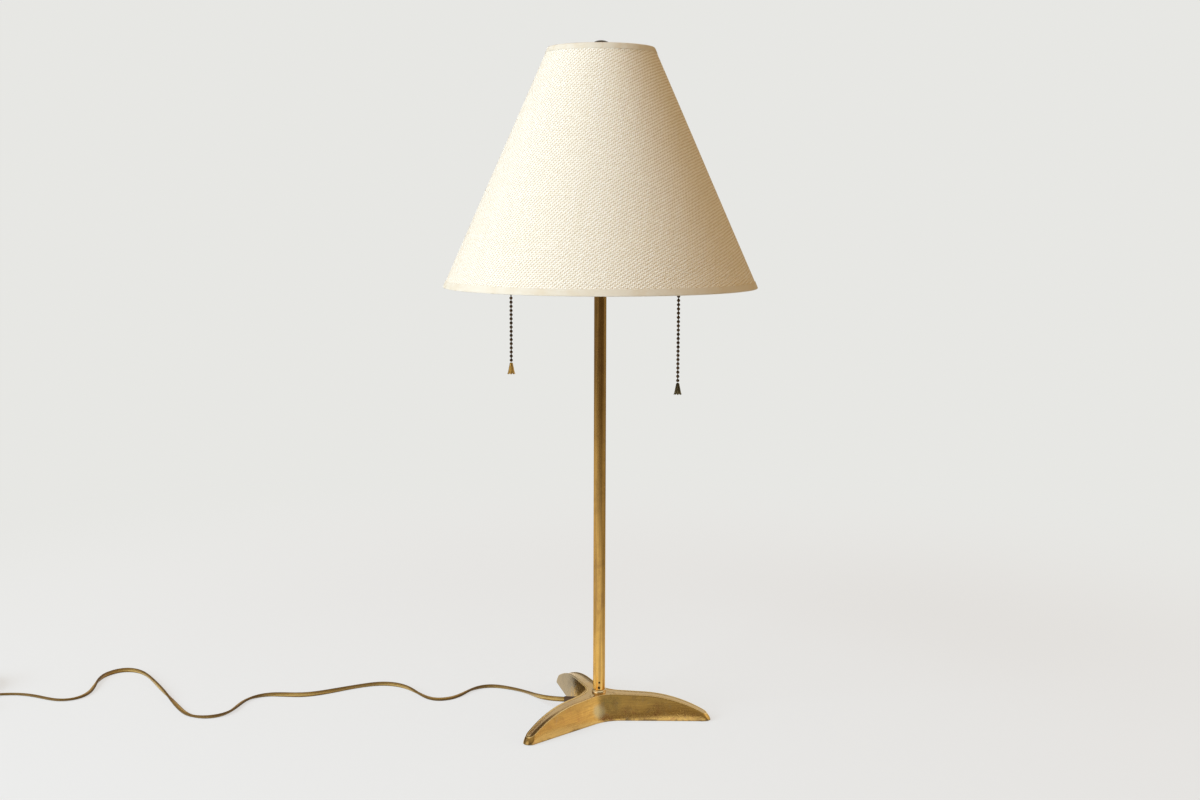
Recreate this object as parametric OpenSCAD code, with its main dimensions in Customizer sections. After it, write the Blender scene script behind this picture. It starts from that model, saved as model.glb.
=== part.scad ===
// Table lamp on a cast three-legged foot: tube stem, two pull-chain sockets
// and a cone shade. +Z is up, the origin is on the floor under the stem.

/* [Foot] */
// Number of legs
leg_count = 3; // [3:1:5]
// Turn of the first leg from +X, towards the viewer
leg_turn = 8.26; // [0:0.02:40]
// Distance from the axis to the end of each leg
leg_reach = 113; // [95:1:140]
// Height of the hub's flat top above the floor
hub_top = 24; // [22:0.5:30]
// Distance from the axis at which the legs start to fall
hub_flat = 45; // [30:1:55]
// Radius of the falling top line of a leg
crown_r = 130; // [125:1:200]
// Half width of a leg's rounded end at the floor
tip_r_floor = 6.4; // [6:0.1:9]
// Half width of a leg's rounded end at its top edge
tip_r_top = 5; // [4:0.1:6]
// Widening of a leg's foot line towards the hub
taper_floor = 0.137; // [0.05:0.001:0.18]
// Widening of a leg's top line towards the hub
taper_top = 0.03; // [0:0.005:0.06]
// Radius of the hollow between two legs at the floor
hollow_floor = 37; // [25:1:45]
// Radius of the hollow between two legs at the top
hollow_top = 28; // [15:1:30]
// Overhang of the floor line past the top line at a leg's end
nose = 3.5; // [2:0.5:6]
// Thickness of the hub over its pocket
hub_plate = 5.5; // [4:0.5:7]
// Radius of the pocket under the hub
pocket_r = 15; // [13.5:0.5:16]
// Width of the hollow channel under each leg
channel_w = 8; // [4:0.5:9]
// Height of the channel above the floor
channel_h = 9; // [5:0.5:10]
// Distance of a pad's centre from the leg's end
pad_inset = 9; // [8:0.5:12]
// Radius of a pad
pad_r = 4.4; // [3:0.1:4.6]
// Thickness of a pad
pad_t = 2; // [1.5:0.1:3]
// Height by which a pad stands out of the casting
pad_proud = 0.8; // [0.5:0.1:1.2]

/* [Stem] */
// Outer diameter of the stem tube
stem_d = 12; // [11.5:0.1:16]
// Wall of the stem tube
stem_wall = 0.9; // [0.6:0.1:1.1]
// Length of the stem tube
stem_len = 412; // [300:1:520]
// Wall of the seating ring round the stem's foot
seat_wall = 1.15; // [0.8:0.05:3]
// Height of the seating ring
seat_h = 3.4; // [2:0.2:8]
// Outer diameter of the threaded pipe
pipe_d = 9.7; // [9.2:0.1:9.9]
// Bore of the threaded pipe
pipe_bore = 6.6; // [6:0.1:7]
// Outer diameter of the washer under the hub
washer_d = 24; // [18:0.5:26]
// Thickness of that washer
washer_t = 1.2; // [0.8:0.1:1.6]
// Width across the flats of the pipe nut
nut_af = 14; // [12.5:0.5:14.5]
// Height of the pipe nut
nut_h = 3.5; // [3:0.5:4.5]

/* [Socket cluster] */
// Outer diameter of the cluster cup
cup_d = 36; // [34:0.5:42]
// Height of the cluster cup
cup_h = 22.5; // [21.5:0.5:28]
// Wall of the cluster cup
cup_wall = 1.5; // [1:0.1:2.5]
// Floor of the cluster cup
cup_floor = 3; // [2:0.5:4]
// Thickness of the cup's cover
cover_t = 1.5; // [1:0.1:3]
// Height of the arms above the bottom of the cup
arm_h = 10; // [9.5:0.5:12]
// Distance from the stem's axis to each socket's axis
arm_spread = 50; // [46:1:56]
// Bend radius of an arm's centre line
arm_bend = 10; // [8:0.5:14]
// Straight threaded end of an arm above its bend
arm_end = 4; // [3:0.5:5]
// Outer diameter of one insulated conductor
wire_d = 2.2; // [1.6:0.1:2.4]
// Distance of a wire connector from the axis
connector_off = 10.5; // [10:0.1:11.5]

/* [Sockets] */
// Outer diameter of a socket's cap
cap_d = 34.2; // [33:0.1:38]
// Wall of a socket's cap
cap_wall = 0.8; // [0.5:0.1:1.2]
// Height of a socket's cap with its hub
cap_h = 19; // [18:0.5:22]
// Wall of a socket's shell
shell_wall = 0.7; // [0.5:0.1:1]
// Height of a socket's shell
shell_h = 44.5; // [42:0.5:48]
// Wall of the insulating sleeve
sleeve_wall = 0.8; // [0.5:0.1:1]
// Height of the switch block
switch_h = 18; // [16:0.5:20]
// Outer diameter of the chain guide's tube
guide_d = 5.5; // [5:0.1:6]
// Distance from a socket's axis to its hanging chain
guide_reach = 37.2; // [33:0.1:42]
// Height of the chain guide above the shell's lower edge
guide_h = 14.5; // [13:0.5:16]
// Direction of the left chain guide
guide_turn_left = 180; // [150:1:210]
// Direction of the right chain guide
guide_turn_right = -48; // [-70:1:30]

/* [Bulbs] */
// Largest diameter of the bulb
bulb_d = 60; // [50:1:62]
// Length of the bulb with its base
bulb_len = 108; // [98:1:112]
// Thread diameter of the bulb's base
bulb_thread_d = 26.3; // [25.8:0.05:26.4]
// Thickness of the bulb's glass
bulb_wall = 0.8; // [0.5:0.1:1.2]

/* [Pull chains] */
// Diameter of a chain bead
bead_d = 3.2; // [2.4:0.1:3.4]
// Distance from bead to bead
bead_pitch = 4.064; // [3.9:0.002:4.3]
// Number of beads that hang on the left
beads_left = 26; // [12:1:30]
// Number of beads that hang on the right
beads_right = 30; // [12:1:34]
// Height of a bell pull
bell_h = 11.6; // [9:0.1:16]
// Width of a bell pull at its mouth
bell_d = 8; // [6:0.1:12]

/* [Shade] */
// Diameter of the shade's lower rim
shade_bottom_d = 304.8; // [270:0.1:360]
// Diameter of the shade's upper rim
shade_top_d = 102.2; // [90:0.1:130]
// Height of the shade from rim to rim
shade_h = 227.2; // [210:0.1:260]
// Drop of the lower rim below the top of the stem
shade_drop = 3.1; // [0:0.1:12]
// Thickness of the woven cover with its backing
cover_cloth_t = 1; // [0.6:0.1:1.6]
// Thickness of the stiff liner
liner_t = 0.6; // [0.4:0.1:1]
// Thickness of the rim tapes
tape_t = 0.4; // [0.2:0.05:0.8]
// Width of the lower rim tape
tape_bottom_w = 6; // [4:0.5:12]
// Width of the upper rim tape
tape_top_w = 5; // [4:0.5:12]
// Wire diameter of the shade's rings
ring_wire_d = 2.4; // [2:0.1:3]
// Number of spokes that hold the shade
spoke_count = 3; // [3:1:4]
// Depth of the spider's hub below the upper rim
spider_drop = 9.6; // [9:0.1:20]
// Diameter of the riser rod
riser_d = 6.35; // [6:0.05:7]
// Largest diameter of the finial
finial_d = 20; // [16:0.5:26]
// Height of the finial
finial_h = 14.4; // [12:0.1:22]

/* [Cord] */
// Width of the flat two-core cord
cord_d = 5; // [4.6:0.1:5]
// Height of the cord's hole above the floor
gland_z = 14; // [13.6:0.1:14.4]

/* [Hidden] */
$fn = 64;

// clearances: threads and snug seats, running fits, a chain in its guide, glued layers
seat_gap = 0.05;
run_gap = 0.08;
chain_gap = 0.15;
glue_gap = 0.02;

// how the wall of the foot bulges between its floor line and its top line
bulge = 1.6;
wall_steps = 7;
half_notch = 180 / leg_count;
// direction of the hollow that the cord leaves by, on the left
notch_turn = -leg_turn + half_notch * (2 * floor(leg_count / 2) + 1);
tip_at_floor = leg_reach - tip_r_floor;
tip_at_top = leg_reach - nose - tip_r_top;
pad_at = leg_reach - pad_inset;
hollow_at_floor = hollow_at(hollow_floor, taper_floor, tip_r_floor, tip_at_floor);
hollow_at_top = hollow_at(hollow_top, taper_top, tip_r_top, tip_at_top);

// levels under and in the hub
pocket_top = hub_top - hub_plate;
nut_z = pocket_top - washer_t - nut_h;
pipe_bottom = nut_z - 1;

// the cord's gland: the collar sits in a flat cut into the hollow between two legs
collar_r = cord_d / 2 + 2.1;
hole_r = cord_d / 2 + 1;
gland_seat = notch_radius(gland_z + collar_r);
gland_flange = 1.3;
gland_flange_r = hole_r + 0.8;
gland_inner = sqrt(pow(pocket_r, 2) - pow(gland_flange_r, 2)) - 0.15;
collar_t = 2;
gland_tail = 16;

// levels of the socket cluster
stem_top = hub_top + stem_len;
cup_top = stem_top + cup_h;
cup_r = cup_d / 2;
arm_z = stem_top + arm_h;
pipe_top = stem_top + cup_floor + 3;
lead_bend = 3;
wire_gap = wire_d / 2 + 0.2;
// the wires stand side by side across the room, so one reaches a little further along the gland
cord_start = gland_inner + wire_gap * abs(sin(notch_turn)) + seat_gap;
wire_side = wire_d + 0.2;
connector_r = 3.9;
connector_z = arm_z + lead_bend + 0.5;

// levels of a socket, from its cap's lower end
cap_z = arm_z + arm_bend;
cap_hub_h = 4.5;
cap_hub_r = 7.5;
cap_dome = 8;
shell_z = cap_z + cap_hub_h + cap_dome;
shell_r = cap_d / 2 - cap_wall - seat_gap;
shell_top = shell_z + shell_h;
sleeve_r = shell_r - shell_wall - seat_gap;
sleeve_z = shell_z + 0.5;
switch_r = sleeve_r - sleeve_wall - seat_gap;
switch_top = sleeve_z + switch_h;
contact_t = 1.6;
screw_r = bulb_thread_d / 2 + run_gap;
screw_wall = 0.7;
screw_h = shell_top - 4 - switch_top;
guide_z = shell_z + guide_h;
guide_bend = 5;
guide_drop = 14;
guide_bore = bead_d / 2 + chain_gap;
guide_mouth = guide_z - guide_bend - guide_drop;
guide_lip = 0.8;
slider_beads = 3;
joint_z = guide_mouth - bead_d / 2 - 0.4;
link_d = 1;

// bulbs
tip_z = switch_top + contact_t + 0.1;
tip_h = 2;
skirt_z = tip_z + tip_h + 1.5;
neck_z = shell_top - 2;
neck_r = 14;
bulb_top = tip_z + bulb_len;

// shade
shade_z = stem_top - shade_drop;
shade_top = shade_z + shade_h;
shade_slope = (shade_bottom_d - shade_top_d) / 2 / shade_h;
shade_lean = sqrt(1 + pow(shade_slope, 2));
liner_r_in = cover_cloth_t + glue_gap + liner_t;
ring_in = liner_r_in + 0.05 + ring_wire_d / 2;
ring_top_z = shade_top - 2.6;
ring_bottom_z = shade_z + 2;
hub_z = shade_top - spider_drop;
hub_t = 2.6;
hub_r = 9.5;
riser_r = riser_d / 2;
finial_z = hub_z + hub_t + 0.1;
finial_bore_h = 8.6;
riser_top = finial_z + finial_bore_h - 0.6;
riser_nut_t = 3;
riser_nut_af = 10;
riser_bottom = cup_top - riser_nut_t - 1;
rest_h = 4;
rest_r = 8;

// cord: round numbers chosen along the photographed route, then a coil and a plug
coil_at = [-676, 70];
coil_turn_r = 28;
coil_lift = 0.8;
coil_layers = 3;
tie_w = 6;
tie_turn = 200;
plug_at = [-643, 14];
plug_h = 14;
plug_w = 24;
plug_len = 26;
blade_off = 6.35;
blade_w = 6.3;
blade_t = 1.5;
blade_len = 16;
cord_points = [
    [-48, 7, 14],[-60, 20, 11.5], [-68, 40, 7], [-80, 62, 4],
    [-97, 77, 2.5], [-117, 84, 2.5], [-135, 74, 2.5], [-144, 54, 2.5], [-158, 40, 2.5],
    [-175, 40, 2.5], [-189, 56, 2.5], [-207, 82, 2.5], [-236, 92, 2.5], [-273, 69, 2.5],
    [-307, 45, 2.5], [-345, 55, 2.5], [-366, 41, 2.5], [-370, 16, 2.5], [-374, -7, 2.5],
    [-389, -19, 2.5], [-410, -16, 2.5], [-425, 5, 2.5], [-446, 40, 2.5], [-470, 79, 2.5],
    [-489, 111, 2.5], [-506, 130, 2.5], [-526, 133, 2.5], [-540, 113, 2.5], [-539, 86, 2.5],
    [-534, 58, 2.5], [-542, 36, 2.5], [-562, 30, 2.5], [-588, 46, 2.5], [-618, 55, 2.5],
    [-650, 41, 2.8]
];
tail_points = [[-645.2, 58, 13.2], [-645, 46, 11.5], [-644, 34, 8.5], [-643, 22, 7.2]];

// ---------- helpers ----------

function unit(v) = v / norm(v);
function polar(r, a) = [r * cos(a), r * sin(a)];
function arc(c, r, a0, a1, n) = [for (i = [0:n]) c + polar(r, a0 + (a1 - a0) * i / n)];
function shade_r(z) = shade_bottom_d / 2 - shade_slope * (z - shade_z);

// cubic B-spline through the neighbourhood of p, starting and ending on its end points
function spline_at(a, b, c, d, t) = (pow(1 - t, 3) * a + (3 * pow(t, 3) - 6 * t * t + 4) * b
    + (3 * t + 3 * t * t - 3 * pow(t, 3) + 1) * c + pow(t, 3) * d) / 6;
function spline(p, steps) = let (n = len(p),
        q = concat([2 * p[0] - p[1]], p, [2 * p[n - 1] - p[n - 2]]))
    concat([for (i = [0:n - 2], k = [0:steps - 1])
        spline_at(q[i], q[i + 1], q[i + 2], q[i + 3], k / steps)], [p[n - 1]]);

// round bar swept along a path that is never upright
module bar(path, r, sides = 8) {
    n = len(path);
    rings = [for (i = [0:n - 1])
        let (t = unit(path[min(i + 1, n - 1)] - path[max(i - 1, 0)]),
            s = unit(cross([0, 0, 1], t)), u = cross(t, s))
        for (k = [0:sides - 1]) let (a = 360 * (k + 0.5) / sides)
            path[i] + r * (cos(a) * s + sin(a) * u)];
    sidewalls = [for (i = [0:n - 2], k = [0:sides - 1])
        let (a = i * sides + k, b = i * sides + (k + 1) % sides)
        each [[a, a + sides, b], [b, a + sides, b + sides]]];
    start = [for (k = [0:sides - 1]) k];
    finish = [for (k = [sides - 1:-1:0]) (n - 1) * sides + k];
    polyhedron(rings, concat(sidewalls, [start, finish]));
}

// straight rod between two points
module rod(a, b, r) {
    v = b - a;
    translate(a) rotate([0, acos(v[2] / norm(v)), atan2(v[1], v[0])]) cylinder(h = norm(v), r = r);
}

// part of a ring in the XZ plane, centre at the origin, from angle a0 over angle a
module bend(ring_r, r, a0, a) {
    rotate([90, 0, 0]) rotate([0, 0, a0]) rotate_extrude(angle = a) translate([ring_r, 0]) circle(r = r);
}

module hexagon(af, h) {
    cylinder(h = h, d = af / cos(30), $fn = 6);
}

module each_leg() {
    for (i = [0:leg_count - 1]) rotate([0, 0, -leg_turn + 360 * i / leg_count]) children();
}

// ---------- foot ----------

// height of the top line at distance s from the axis
function crown(s) = s < hub_flat ? hub_top
    : hub_top - crown_r + sqrt(pow(crown_r, 2) - pow(s - hub_flat, 2));

// distance of a hollow's centre from the axis, for a side line tangent to the leg's end
function hollow_at(fillet, taper, tip_r, tip_at) =
    ((fillet + tip_r) * sqrt(1 + taper * taper) + taper * tip_at)
    / (taper * cos(half_notch) + sin(half_notch));

// radius of the wall in the middle of a hollow at height z
function wall_share(z) = pow((z - pad_proud) / (hub_top - pad_proud), bulge);
function notch_radius(z) = (hollow_at_floor - hollow_floor) * (1 - wall_share(z))
    + (hollow_at_top - hollow_top) * wall_share(z);

// outline of one leg, from the middle of one hollow to just before the next one
function leg_line(fillet, taper, tip_r, tip_at) =
    let (lean = atan(taper), c = polar(hollow_at(fillet, taper, tip_r, tip_at), -half_notch),
        inner = arc(c, fillet, 180 - half_notch, 90 + lean, 6),
        outer = arc([tip_at, 0], tip_r, -90 + lean, 90 - lean, 8),
        straight = [for (k = [1:3]) inner[6] + (outer[0] - inner[6]) * k / 4],
        half = concat(inner, straight),
        back = [for (k = [len(half) - 1:-1:1]) [half[k][0], -half[k][1]]])
    concat(half, outer, back);
function turned(p, a) = [p[0] * cos(a) - p[1] * sin(a), p[0] * sin(a) + p[1] * cos(a)];
function star(line) = [for (i = [0:leg_count - 1], p = line)
    turned(p, -leg_turn + 360 * i / leg_count)];

module foot_blank() {
    low = star(leg_line(hollow_floor, taper_floor, tip_r_floor, tip_at_floor));
    high = star(leg_line(hollow_top, taper_top, tip_r_top, tip_at_top));
    n = len(low);
    walls = [for (j = [0:wall_steps], i = [0:n - 1])
        let (t = j / wall_steps, f = pow(t, bulge), p = low[i] * (1 - f) + high[i] * f)
        [p[0], p[1], pad_proud + t * (crown(norm(high[i])) - pad_proud)]];
    shares = [0.94, 0.85, 0.74, 0.62, 0.5, 0.36, 0.18];
    tops = [for (f = shares, i = [0:n - 1]) [high[i][0] * f, high[i][1] * f, crown(norm(high[i]) * f)]];
    rows = wall_steps + len(shares);
    quads = [for (j = [0:rows - 1], i = [0:n - 1])
        let (a = j * n + i, b = j * n + (i + 1) % n) each [[a, a + n, b], [b, a + n, b + n]]];
    lid = [for (i = [0:n - 1]) [rows * n + i, (rows + 1) * n, rows * n + (i + 1) % n]];
    sole = [for (i = [0:n - 1]) i];
    polyhedron(concat(walls, tops, [[0, 0, hub_top]]), concat(quads, lid, [sole]));
}

module tripod_foot() {
    color("darkgoldenrod") difference() {
        foot_blank();
        translate([0, 0, -1]) cylinder(h = pocket_top + 1, r = pocket_r);
        cylinder(h = hub_top + 1, r = pipe_d / 2 + seat_gap);
        each_leg() {
            translate([pad_at, 0, -1]) cylinder(h = pad_t + 1, r = pad_r + seat_gap);
            channel_to = pad_at - pad_r - channel_w / 2 - 4;
            translate([0, -channel_w / 2, -1]) cube([channel_to, channel_w, channel_h + 1]);
            translate([channel_to, 0, -1]) cylinder(h = channel_h + 1, d = channel_w);
        }
        // the 25 degree spin keeps the bore's seam off the hollow's middle line
        rotate([0, 0, notch_turn]) translate([0, 0, gland_z]) rotate([0, 90, 0]) rotate([0, 0, 25]) {
            cylinder(h = 2 * gland_seat, r = hole_r);
            translate([0, 0, gland_seat]) cylinder(h = gland_seat, r = collar_r + 0.3);
        }
    }
}

module foot_pads() {
    color("dimgray") each_leg() translate([pad_at, 0, 0]) cylinder(h = pad_t, r = pad_r);
}

module base_washer() {
    color("silver") translate([0, 0, pocket_top - washer_t]) difference() {
        cylinder(h = washer_t, d = washer_d);
        translate([0, 0, -1]) cylinder(h = washer_t + 2, r = pipe_d / 2 + seat_gap);
    }
}

module base_nut() {
    color("silver") translate([0, 0, nut_z]) difference() {
        hexagon(nut_af, nut_h);
        translate([0, 0, -1]) cylinder(h = nut_h + 2, r = pipe_d / 2 + seat_gap);
    }
}

// ---------- stem ----------

module stem_seat() {
    inner = stem_d / 2 + seat_gap;
    edge = seat_wall / 2;
    color("darkkhaki") translate([0, 0, hub_top]) rotate_extrude() translate([inner, 0])
        polygon([[0, 0], [seat_wall, 0], [seat_wall, seat_h - edge], [seat_wall - edge, seat_h], [0, seat_h]]);
}

module stem_tube() {
    color("goldenrod") translate([0, 0, hub_top]) difference() {
        cylinder(h = stem_len, d = stem_d);
        translate([0, 0, -1]) cylinder(h = stem_len + 2, d = stem_d - 2 * stem_wall);
    }
}

module lamp_pipe() {
    color("silver") translate([0, 0, pipe_bottom]) difference() {
        cylinder(h = pipe_top - pipe_bottom, d = pipe_d);
        translate([0, 0, -1]) cylinder(h = pipe_top - pipe_bottom + 2, d = pipe_bore);
    }
}

// ---------- gland and wiring ----------

module cord_bushing() {
    collar_at = gland_seat - gland_inner;
    tail_at = collar_at + collar_t;
    flange_at = gland_flange;
    color("saddlebrown") rotate([0, 0, notch_turn]) translate([gland_inner - gland_flange, 0, gland_z])
        rotate([0, 90, 0]) rotate_extrude() polygon([
            [cord_d / 2 + seat_gap, 0], [gland_flange_r, 0], [gland_flange_r, flange_at],
            [hole_r - seat_gap, flange_at], [hole_r - seat_gap, flange_at + collar_at],
            [collar_r, flange_at + collar_at], [collar_r, flange_at + tail_at],
            [hole_r, flange_at + tail_at], [cord_d / 2 + 0.7, flange_at + tail_at + gland_tail],
            [cord_d / 2 + seat_gap, flange_at + tail_at + gland_tail]
        ]);
}

// one conductor from the gland, under the pipe and up the stem to its connector
module lead(side) {
    r = wire_d / 2;
    down_x = gland_inner - lead_bend;
    turn_z = gland_z - lead_bend;
    loop_z = turn_z - 1;
    translate([0, side * wire_gap, 0]) {
        rotate([0, 0, notch_turn]) {
            translate([gland_inner, 0, turn_z]) bend(lead_bend, r, 90, 90);
            rod([down_x, 0, loop_z], [down_x, 0, turn_z], r);
            translate([down_x / 2, 0, loop_z]) bend(down_x / 2, r, 180, 180);
        }
        rod([0, 0, loop_z], [0, 0, arm_z - lead_bend], r);
    }
    rotate([0, 0, side * 90]) {
        translate([wire_gap + lead_bend, 0, arm_z - lead_bend]) bend(lead_bend, r, 90, 90);
        to_connector(r);
    }
}

// the level stretch and the turn up into a connector, in the direction +X
module to_connector(r) {
    rod([wire_gap + lead_bend, 0, arm_z], [connector_off - lead_bend, 0, arm_z], r);
    translate([connector_off - lead_bend, 0, arm_z + lead_bend]) bend(lead_bend, r, 270, 90);
    rod([connector_off, 0, arm_z + lead_bend], [connector_off, 0, connector_z], r);
}

module lead_wires() {
    color("sienna") for (side = [-1, 1]) lead(side);
}

// one conductor from its connector through an arm to the switch; x and y pick the quarter
module socket_wire(x, y) {
    r = wire_d / 2;
    elbow = arm_spread - arm_bend;
    translate([x * wire_side, 0, 0]) rotate([0, 0, y * 90]) to_connector(r);
    scale([x, y, 1]) {
        translate([wire_side + lead_bend, wire_gap + lead_bend, arm_z]) rotate([0, 0, 180])
            rotate_extrude(angle = 90) translate([lead_bend, 0]) circle(r = r);
        rod([wire_side + lead_bend, wire_gap, arm_z], [elbow, wire_gap, arm_z], r);
        translate([elbow, wire_gap, arm_z + arm_bend]) bend(arm_bend, r, 270, 90);
        rod([arm_spread, wire_gap, arm_z + arm_bend], [arm_spread, wire_gap, sleeve_z], r);
    }
}

module socket_wires() {
    color("gray") for (x = [-1, 1], y = [-1, 1]) socket_wire(x, y);
}

module wire_connectors() {
    h = cup_top - 0.5 - connector_z;
    color("orange") for (side = [-1, 1]) translate([0, side * connector_off, connector_z])
        cylinder(h = h, r1 = connector_r, r2 = connector_r * 0.65);
}

// ---------- cluster ----------

module cluster_cup() {
    color("peru") translate([0, 0, stem_top]) difference() {
        cylinder(h = cup_h, r = cup_r);
        translate([0, 0, cup_floor]) cylinder(h = cup_h, r = cup_r - cup_wall);
        translate([0, 0, -1]) cylinder(h = cup_floor + 2, r = pipe_d / 2 + seat_gap);
        translate([-cup_d, 0, arm_h]) rotate([0, 90, 0]) cylinder(h = 2 * cup_d, r = pipe_d / 2 + seat_gap);
    }
}

module cluster_cover() {
    lip_r = cup_r - cup_wall - seat_gap;
    lip_h = 1.5;
    color("peru") difference() {
        union() {
            translate([0, 0, cup_top]) cylinder(h = cover_t, r = cup_r);
            translate([0, 0, cup_top - lip_h]) cylinder(h = lip_h, r = lip_r);
        }
        translate([0, 0, cup_top - lip_h - 1]) cylinder(h = lip_h + 1, r = lip_r - 1);
        translate([0, 0, cup_top - 1]) cylinder(h = cover_t + 2, r = riser_r + seat_gap);
    }
}

module arm(side) {
    inner = cup_r - cup_wall - 2;
    elbow = arm_spread - arm_bend;
    module path(r, extra) {
        rod([inner - extra, 0, arm_z], [elbow, 0, arm_z], r);
        translate([elbow, 0, arm_z + arm_bend]) bend(arm_bend, r, 270, 90);
        rod([arm_spread, 0, cap_z], [arm_spread, 0, cap_z + arm_end + extra], r);
    }
    color("peru") rotate([0, 0, side > 0 ? 0 : 180]) difference() {
        path(pipe_d / 2, 0);
        path(pipe_bore / 2, 1);
    }
}

module arm_left() { arm(-1); }
module arm_right() { arm(1); }

// ---------- sockets ----------

module at_socket(side) {
    translate([side * arm_spread, 0, 0]) children();
}

function guide_turn(side) = side > 0 ? guide_turn_right : guide_turn_left;

module cap(side) {
    r = cap_d / 2;
    bore = pipe_d / 2 + seat_gap;
    corner = r - cap_dome;
    up = cap_hub_h + cap_dome;
    color("goldenrod") at_socket(side) translate([0, 0, cap_z]) rotate_extrude() polygon(concat(
        [[bore, 0], [cap_hub_r, 0], [cap_hub_r, cap_hub_h]],
        arc([corner, up], cap_dome, -90, 0, 6),
        [[r, cap_h], [r - cap_wall, cap_h]],
        arc([corner, up], cap_dome - cap_wall, 0, -90, 6),
        [[bore, cap_hub_h + cap_wall]]
    ));
}

// the tube of a chain guide, where it passes the shell and the sleeve
module guide_hole(side) {
    rotate([0, 0, guide_turn(side)]) translate([0, 0, guide_z]) rotate([0, 90, 0])
        cylinder(h = cap_d, r = guide_d / 2 + seat_gap);
}

module shell(side) {
    color("goldenrod") at_socket(side) difference() {
        union() {
            translate([0, 0, shell_z]) cylinder(h = shell_h, r = shell_r);
            translate([0, 0, shell_top - 1.2]) cylinder(h = 1.2, r = shell_r + 0.5);
        }
        translate([0, 0, shell_z - 1]) cylinder(h = shell_h + 2, r = shell_r - shell_wall);
        guide_hole(side);
    }
}

module sleeve(side) {
    h = shell_top - 2 - sleeve_z;
    color("tan") at_socket(side) difference() {
        translate([0, 0, sleeve_z]) cylinder(h = h, r = sleeve_r);
        translate([0, 0, sleeve_z - 1]) cylinder(h = h + 2, r = sleeve_r - sleeve_wall);
        guide_hole(side);
    }
}

module switch_block(side) {
    color("dimgray") at_socket(side) difference() {
        translate([0, 0, sleeve_z]) cylinder(h = switch_h, r = switch_r);
        rotate([0, 0, guide_turn(side)]) translate([switch_r - 3, 0, guide_z]) rotate([0, 90, 0])
            cylinder(h = 4, r = guide_d / 2 + seat_gap);
    }
}

module screw_shell(side) {
    color("silver") at_socket(side) translate([0, 0, switch_top]) difference() {
        cylinder(h = screw_h, r = screw_r + screw_wall);
        translate([0, 0, screw_wall]) cylinder(h = screw_h, r = screw_r);
        translate([0, 0, -1]) cylinder(h = 3, r = screw_r - 4);
    }
}

module contact(side) {
    color("goldenrod") at_socket(side) translate([0, 0, switch_top]) cylinder(h = contact_t, r = 4);
}

module chain_guide(side) {
    from = switch_r - 2.5;
    elbow = guide_reach - guide_bend;
    flange_x = cap_d / 2 + 0.2;
    module path(r, extra) {
        rod([from - extra, 0, guide_z], [elbow, 0, guide_z], r);
        translate([elbow, 0, guide_z - guide_bend]) bend(guide_bend, r, 0, 90);
        rod([guide_reach, 0, guide_mouth - extra], [guide_reach, 0, guide_z - guide_bend], r);
    }
    color("peru") at_socket(side) rotate([0, 0, guide_turn(side)]) difference() {
        union() {
            path(guide_d / 2, 0);
            rod([flange_x, 0, guide_z], [flange_x + 1.2, 0, guide_z], guide_d / 2 + 1.4);
            translate([guide_reach, 0, guide_mouth]) cylinder(h = 1.2, r = guide_d / 2 + guide_lip);
        }
        path(guide_bore, 1);
    }
}

// ---------- pull chains ----------

module at_chain(side) {
    at_socket(side) rotate([0, 0, guide_turn(side)]) translate([guide_reach, 0, joint_z])
        rotate([0, 0, -guide_turn(side)]) children();
}

// beads from number a to number b, counted upwards from the joint bead, on their link wire
module beads(a, b) {
    for (k = [a:b]) translate([0, 0, k * bead_pitch]) sphere(d = bead_d);
    translate([0, 0, a * bead_pitch]) cylinder(h = (b - a) * bead_pitch, d = link_d);
}

// the link wire that reaches towards the joint bead, and stops just short of it
module link(up) {
    translate([0, 0, up > 0 ? bead_d / 2 + 0.1 : -bead_pitch]) cylinder(h = bead_pitch - bead_d / 2 - 0.1, d = link_d);
}

module chain_slider(side) {
    color("darkslategray") at_chain(side) {
        beads(1, slider_beads);
        link(1);
    }
}

module chain_joint(side) {
    color("darkslategray") at_chain(side) sphere(d = bead_d);
}

function hanging(side) = side > 0 ? beads_right : beads_left;

module pull_chain(side) {
    color("darkslategray") at_chain(side) {
        beads(-hanging(side) + 1, -1);
        link(-1);
    }
}

module chain_bell(side) {
    top_r = bead_d / 2 + 0.1;
    top = -(hanging(side) - 0.5) * bead_pitch;
    color(side > 0 ? "darkolivegreen" : "goldenrod") at_chain(side) translate([0, 0, top - bell_h])
        rotate_extrude() polygon([
            [0, 0.6], [bell_d / 2 - 0.8, 0], [bell_d / 2, 0.2], [bell_d * 0.38, bell_h * 0.2],
            [bell_d * 0.3, bell_h * 0.55], [top_r, bell_h * 0.88], [top_r * 0.75, bell_h], [0, bell_h]
        ]);
}

// ---------- bulbs ----------

module bulb_base(side) {
    r = bulb_thread_d / 2;
    color("silver") at_socket(side) rotate_extrude() polygon([
        [0, tip_z], [3.5, tip_z], [4.5, tip_z + tip_h], [8.5, skirt_z - 0.5], [r, skirt_z + 1.5],
        [r, neck_z], [0, neck_z]
    ]);
}

// half profile of the glass, thinned by t all round
function glass(t) = let (r = bulb_d / 2, c = bulb_top - r)
    concat([[0, neck_z + t], [neck_r - t, neck_z + t], [neck_r - t, neck_z + 5]],
        [[neck_r + 3 - t, neck_z + 19]],
        arc([0, c], r - t, -32, 90, 16));

module bulb_glass(side) {
    color("white") at_socket(side) rotate_extrude() difference() {
        polygon(glass(0));
        polygon(glass(bulb_wall));
    }
}

// ---------- riser, shade carrier and finial ----------

module riser_rod() {
    color("goldenrod") translate([0, 0, riser_bottom]) cylinder(h = riser_top - riser_bottom, r = riser_r);
}

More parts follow.
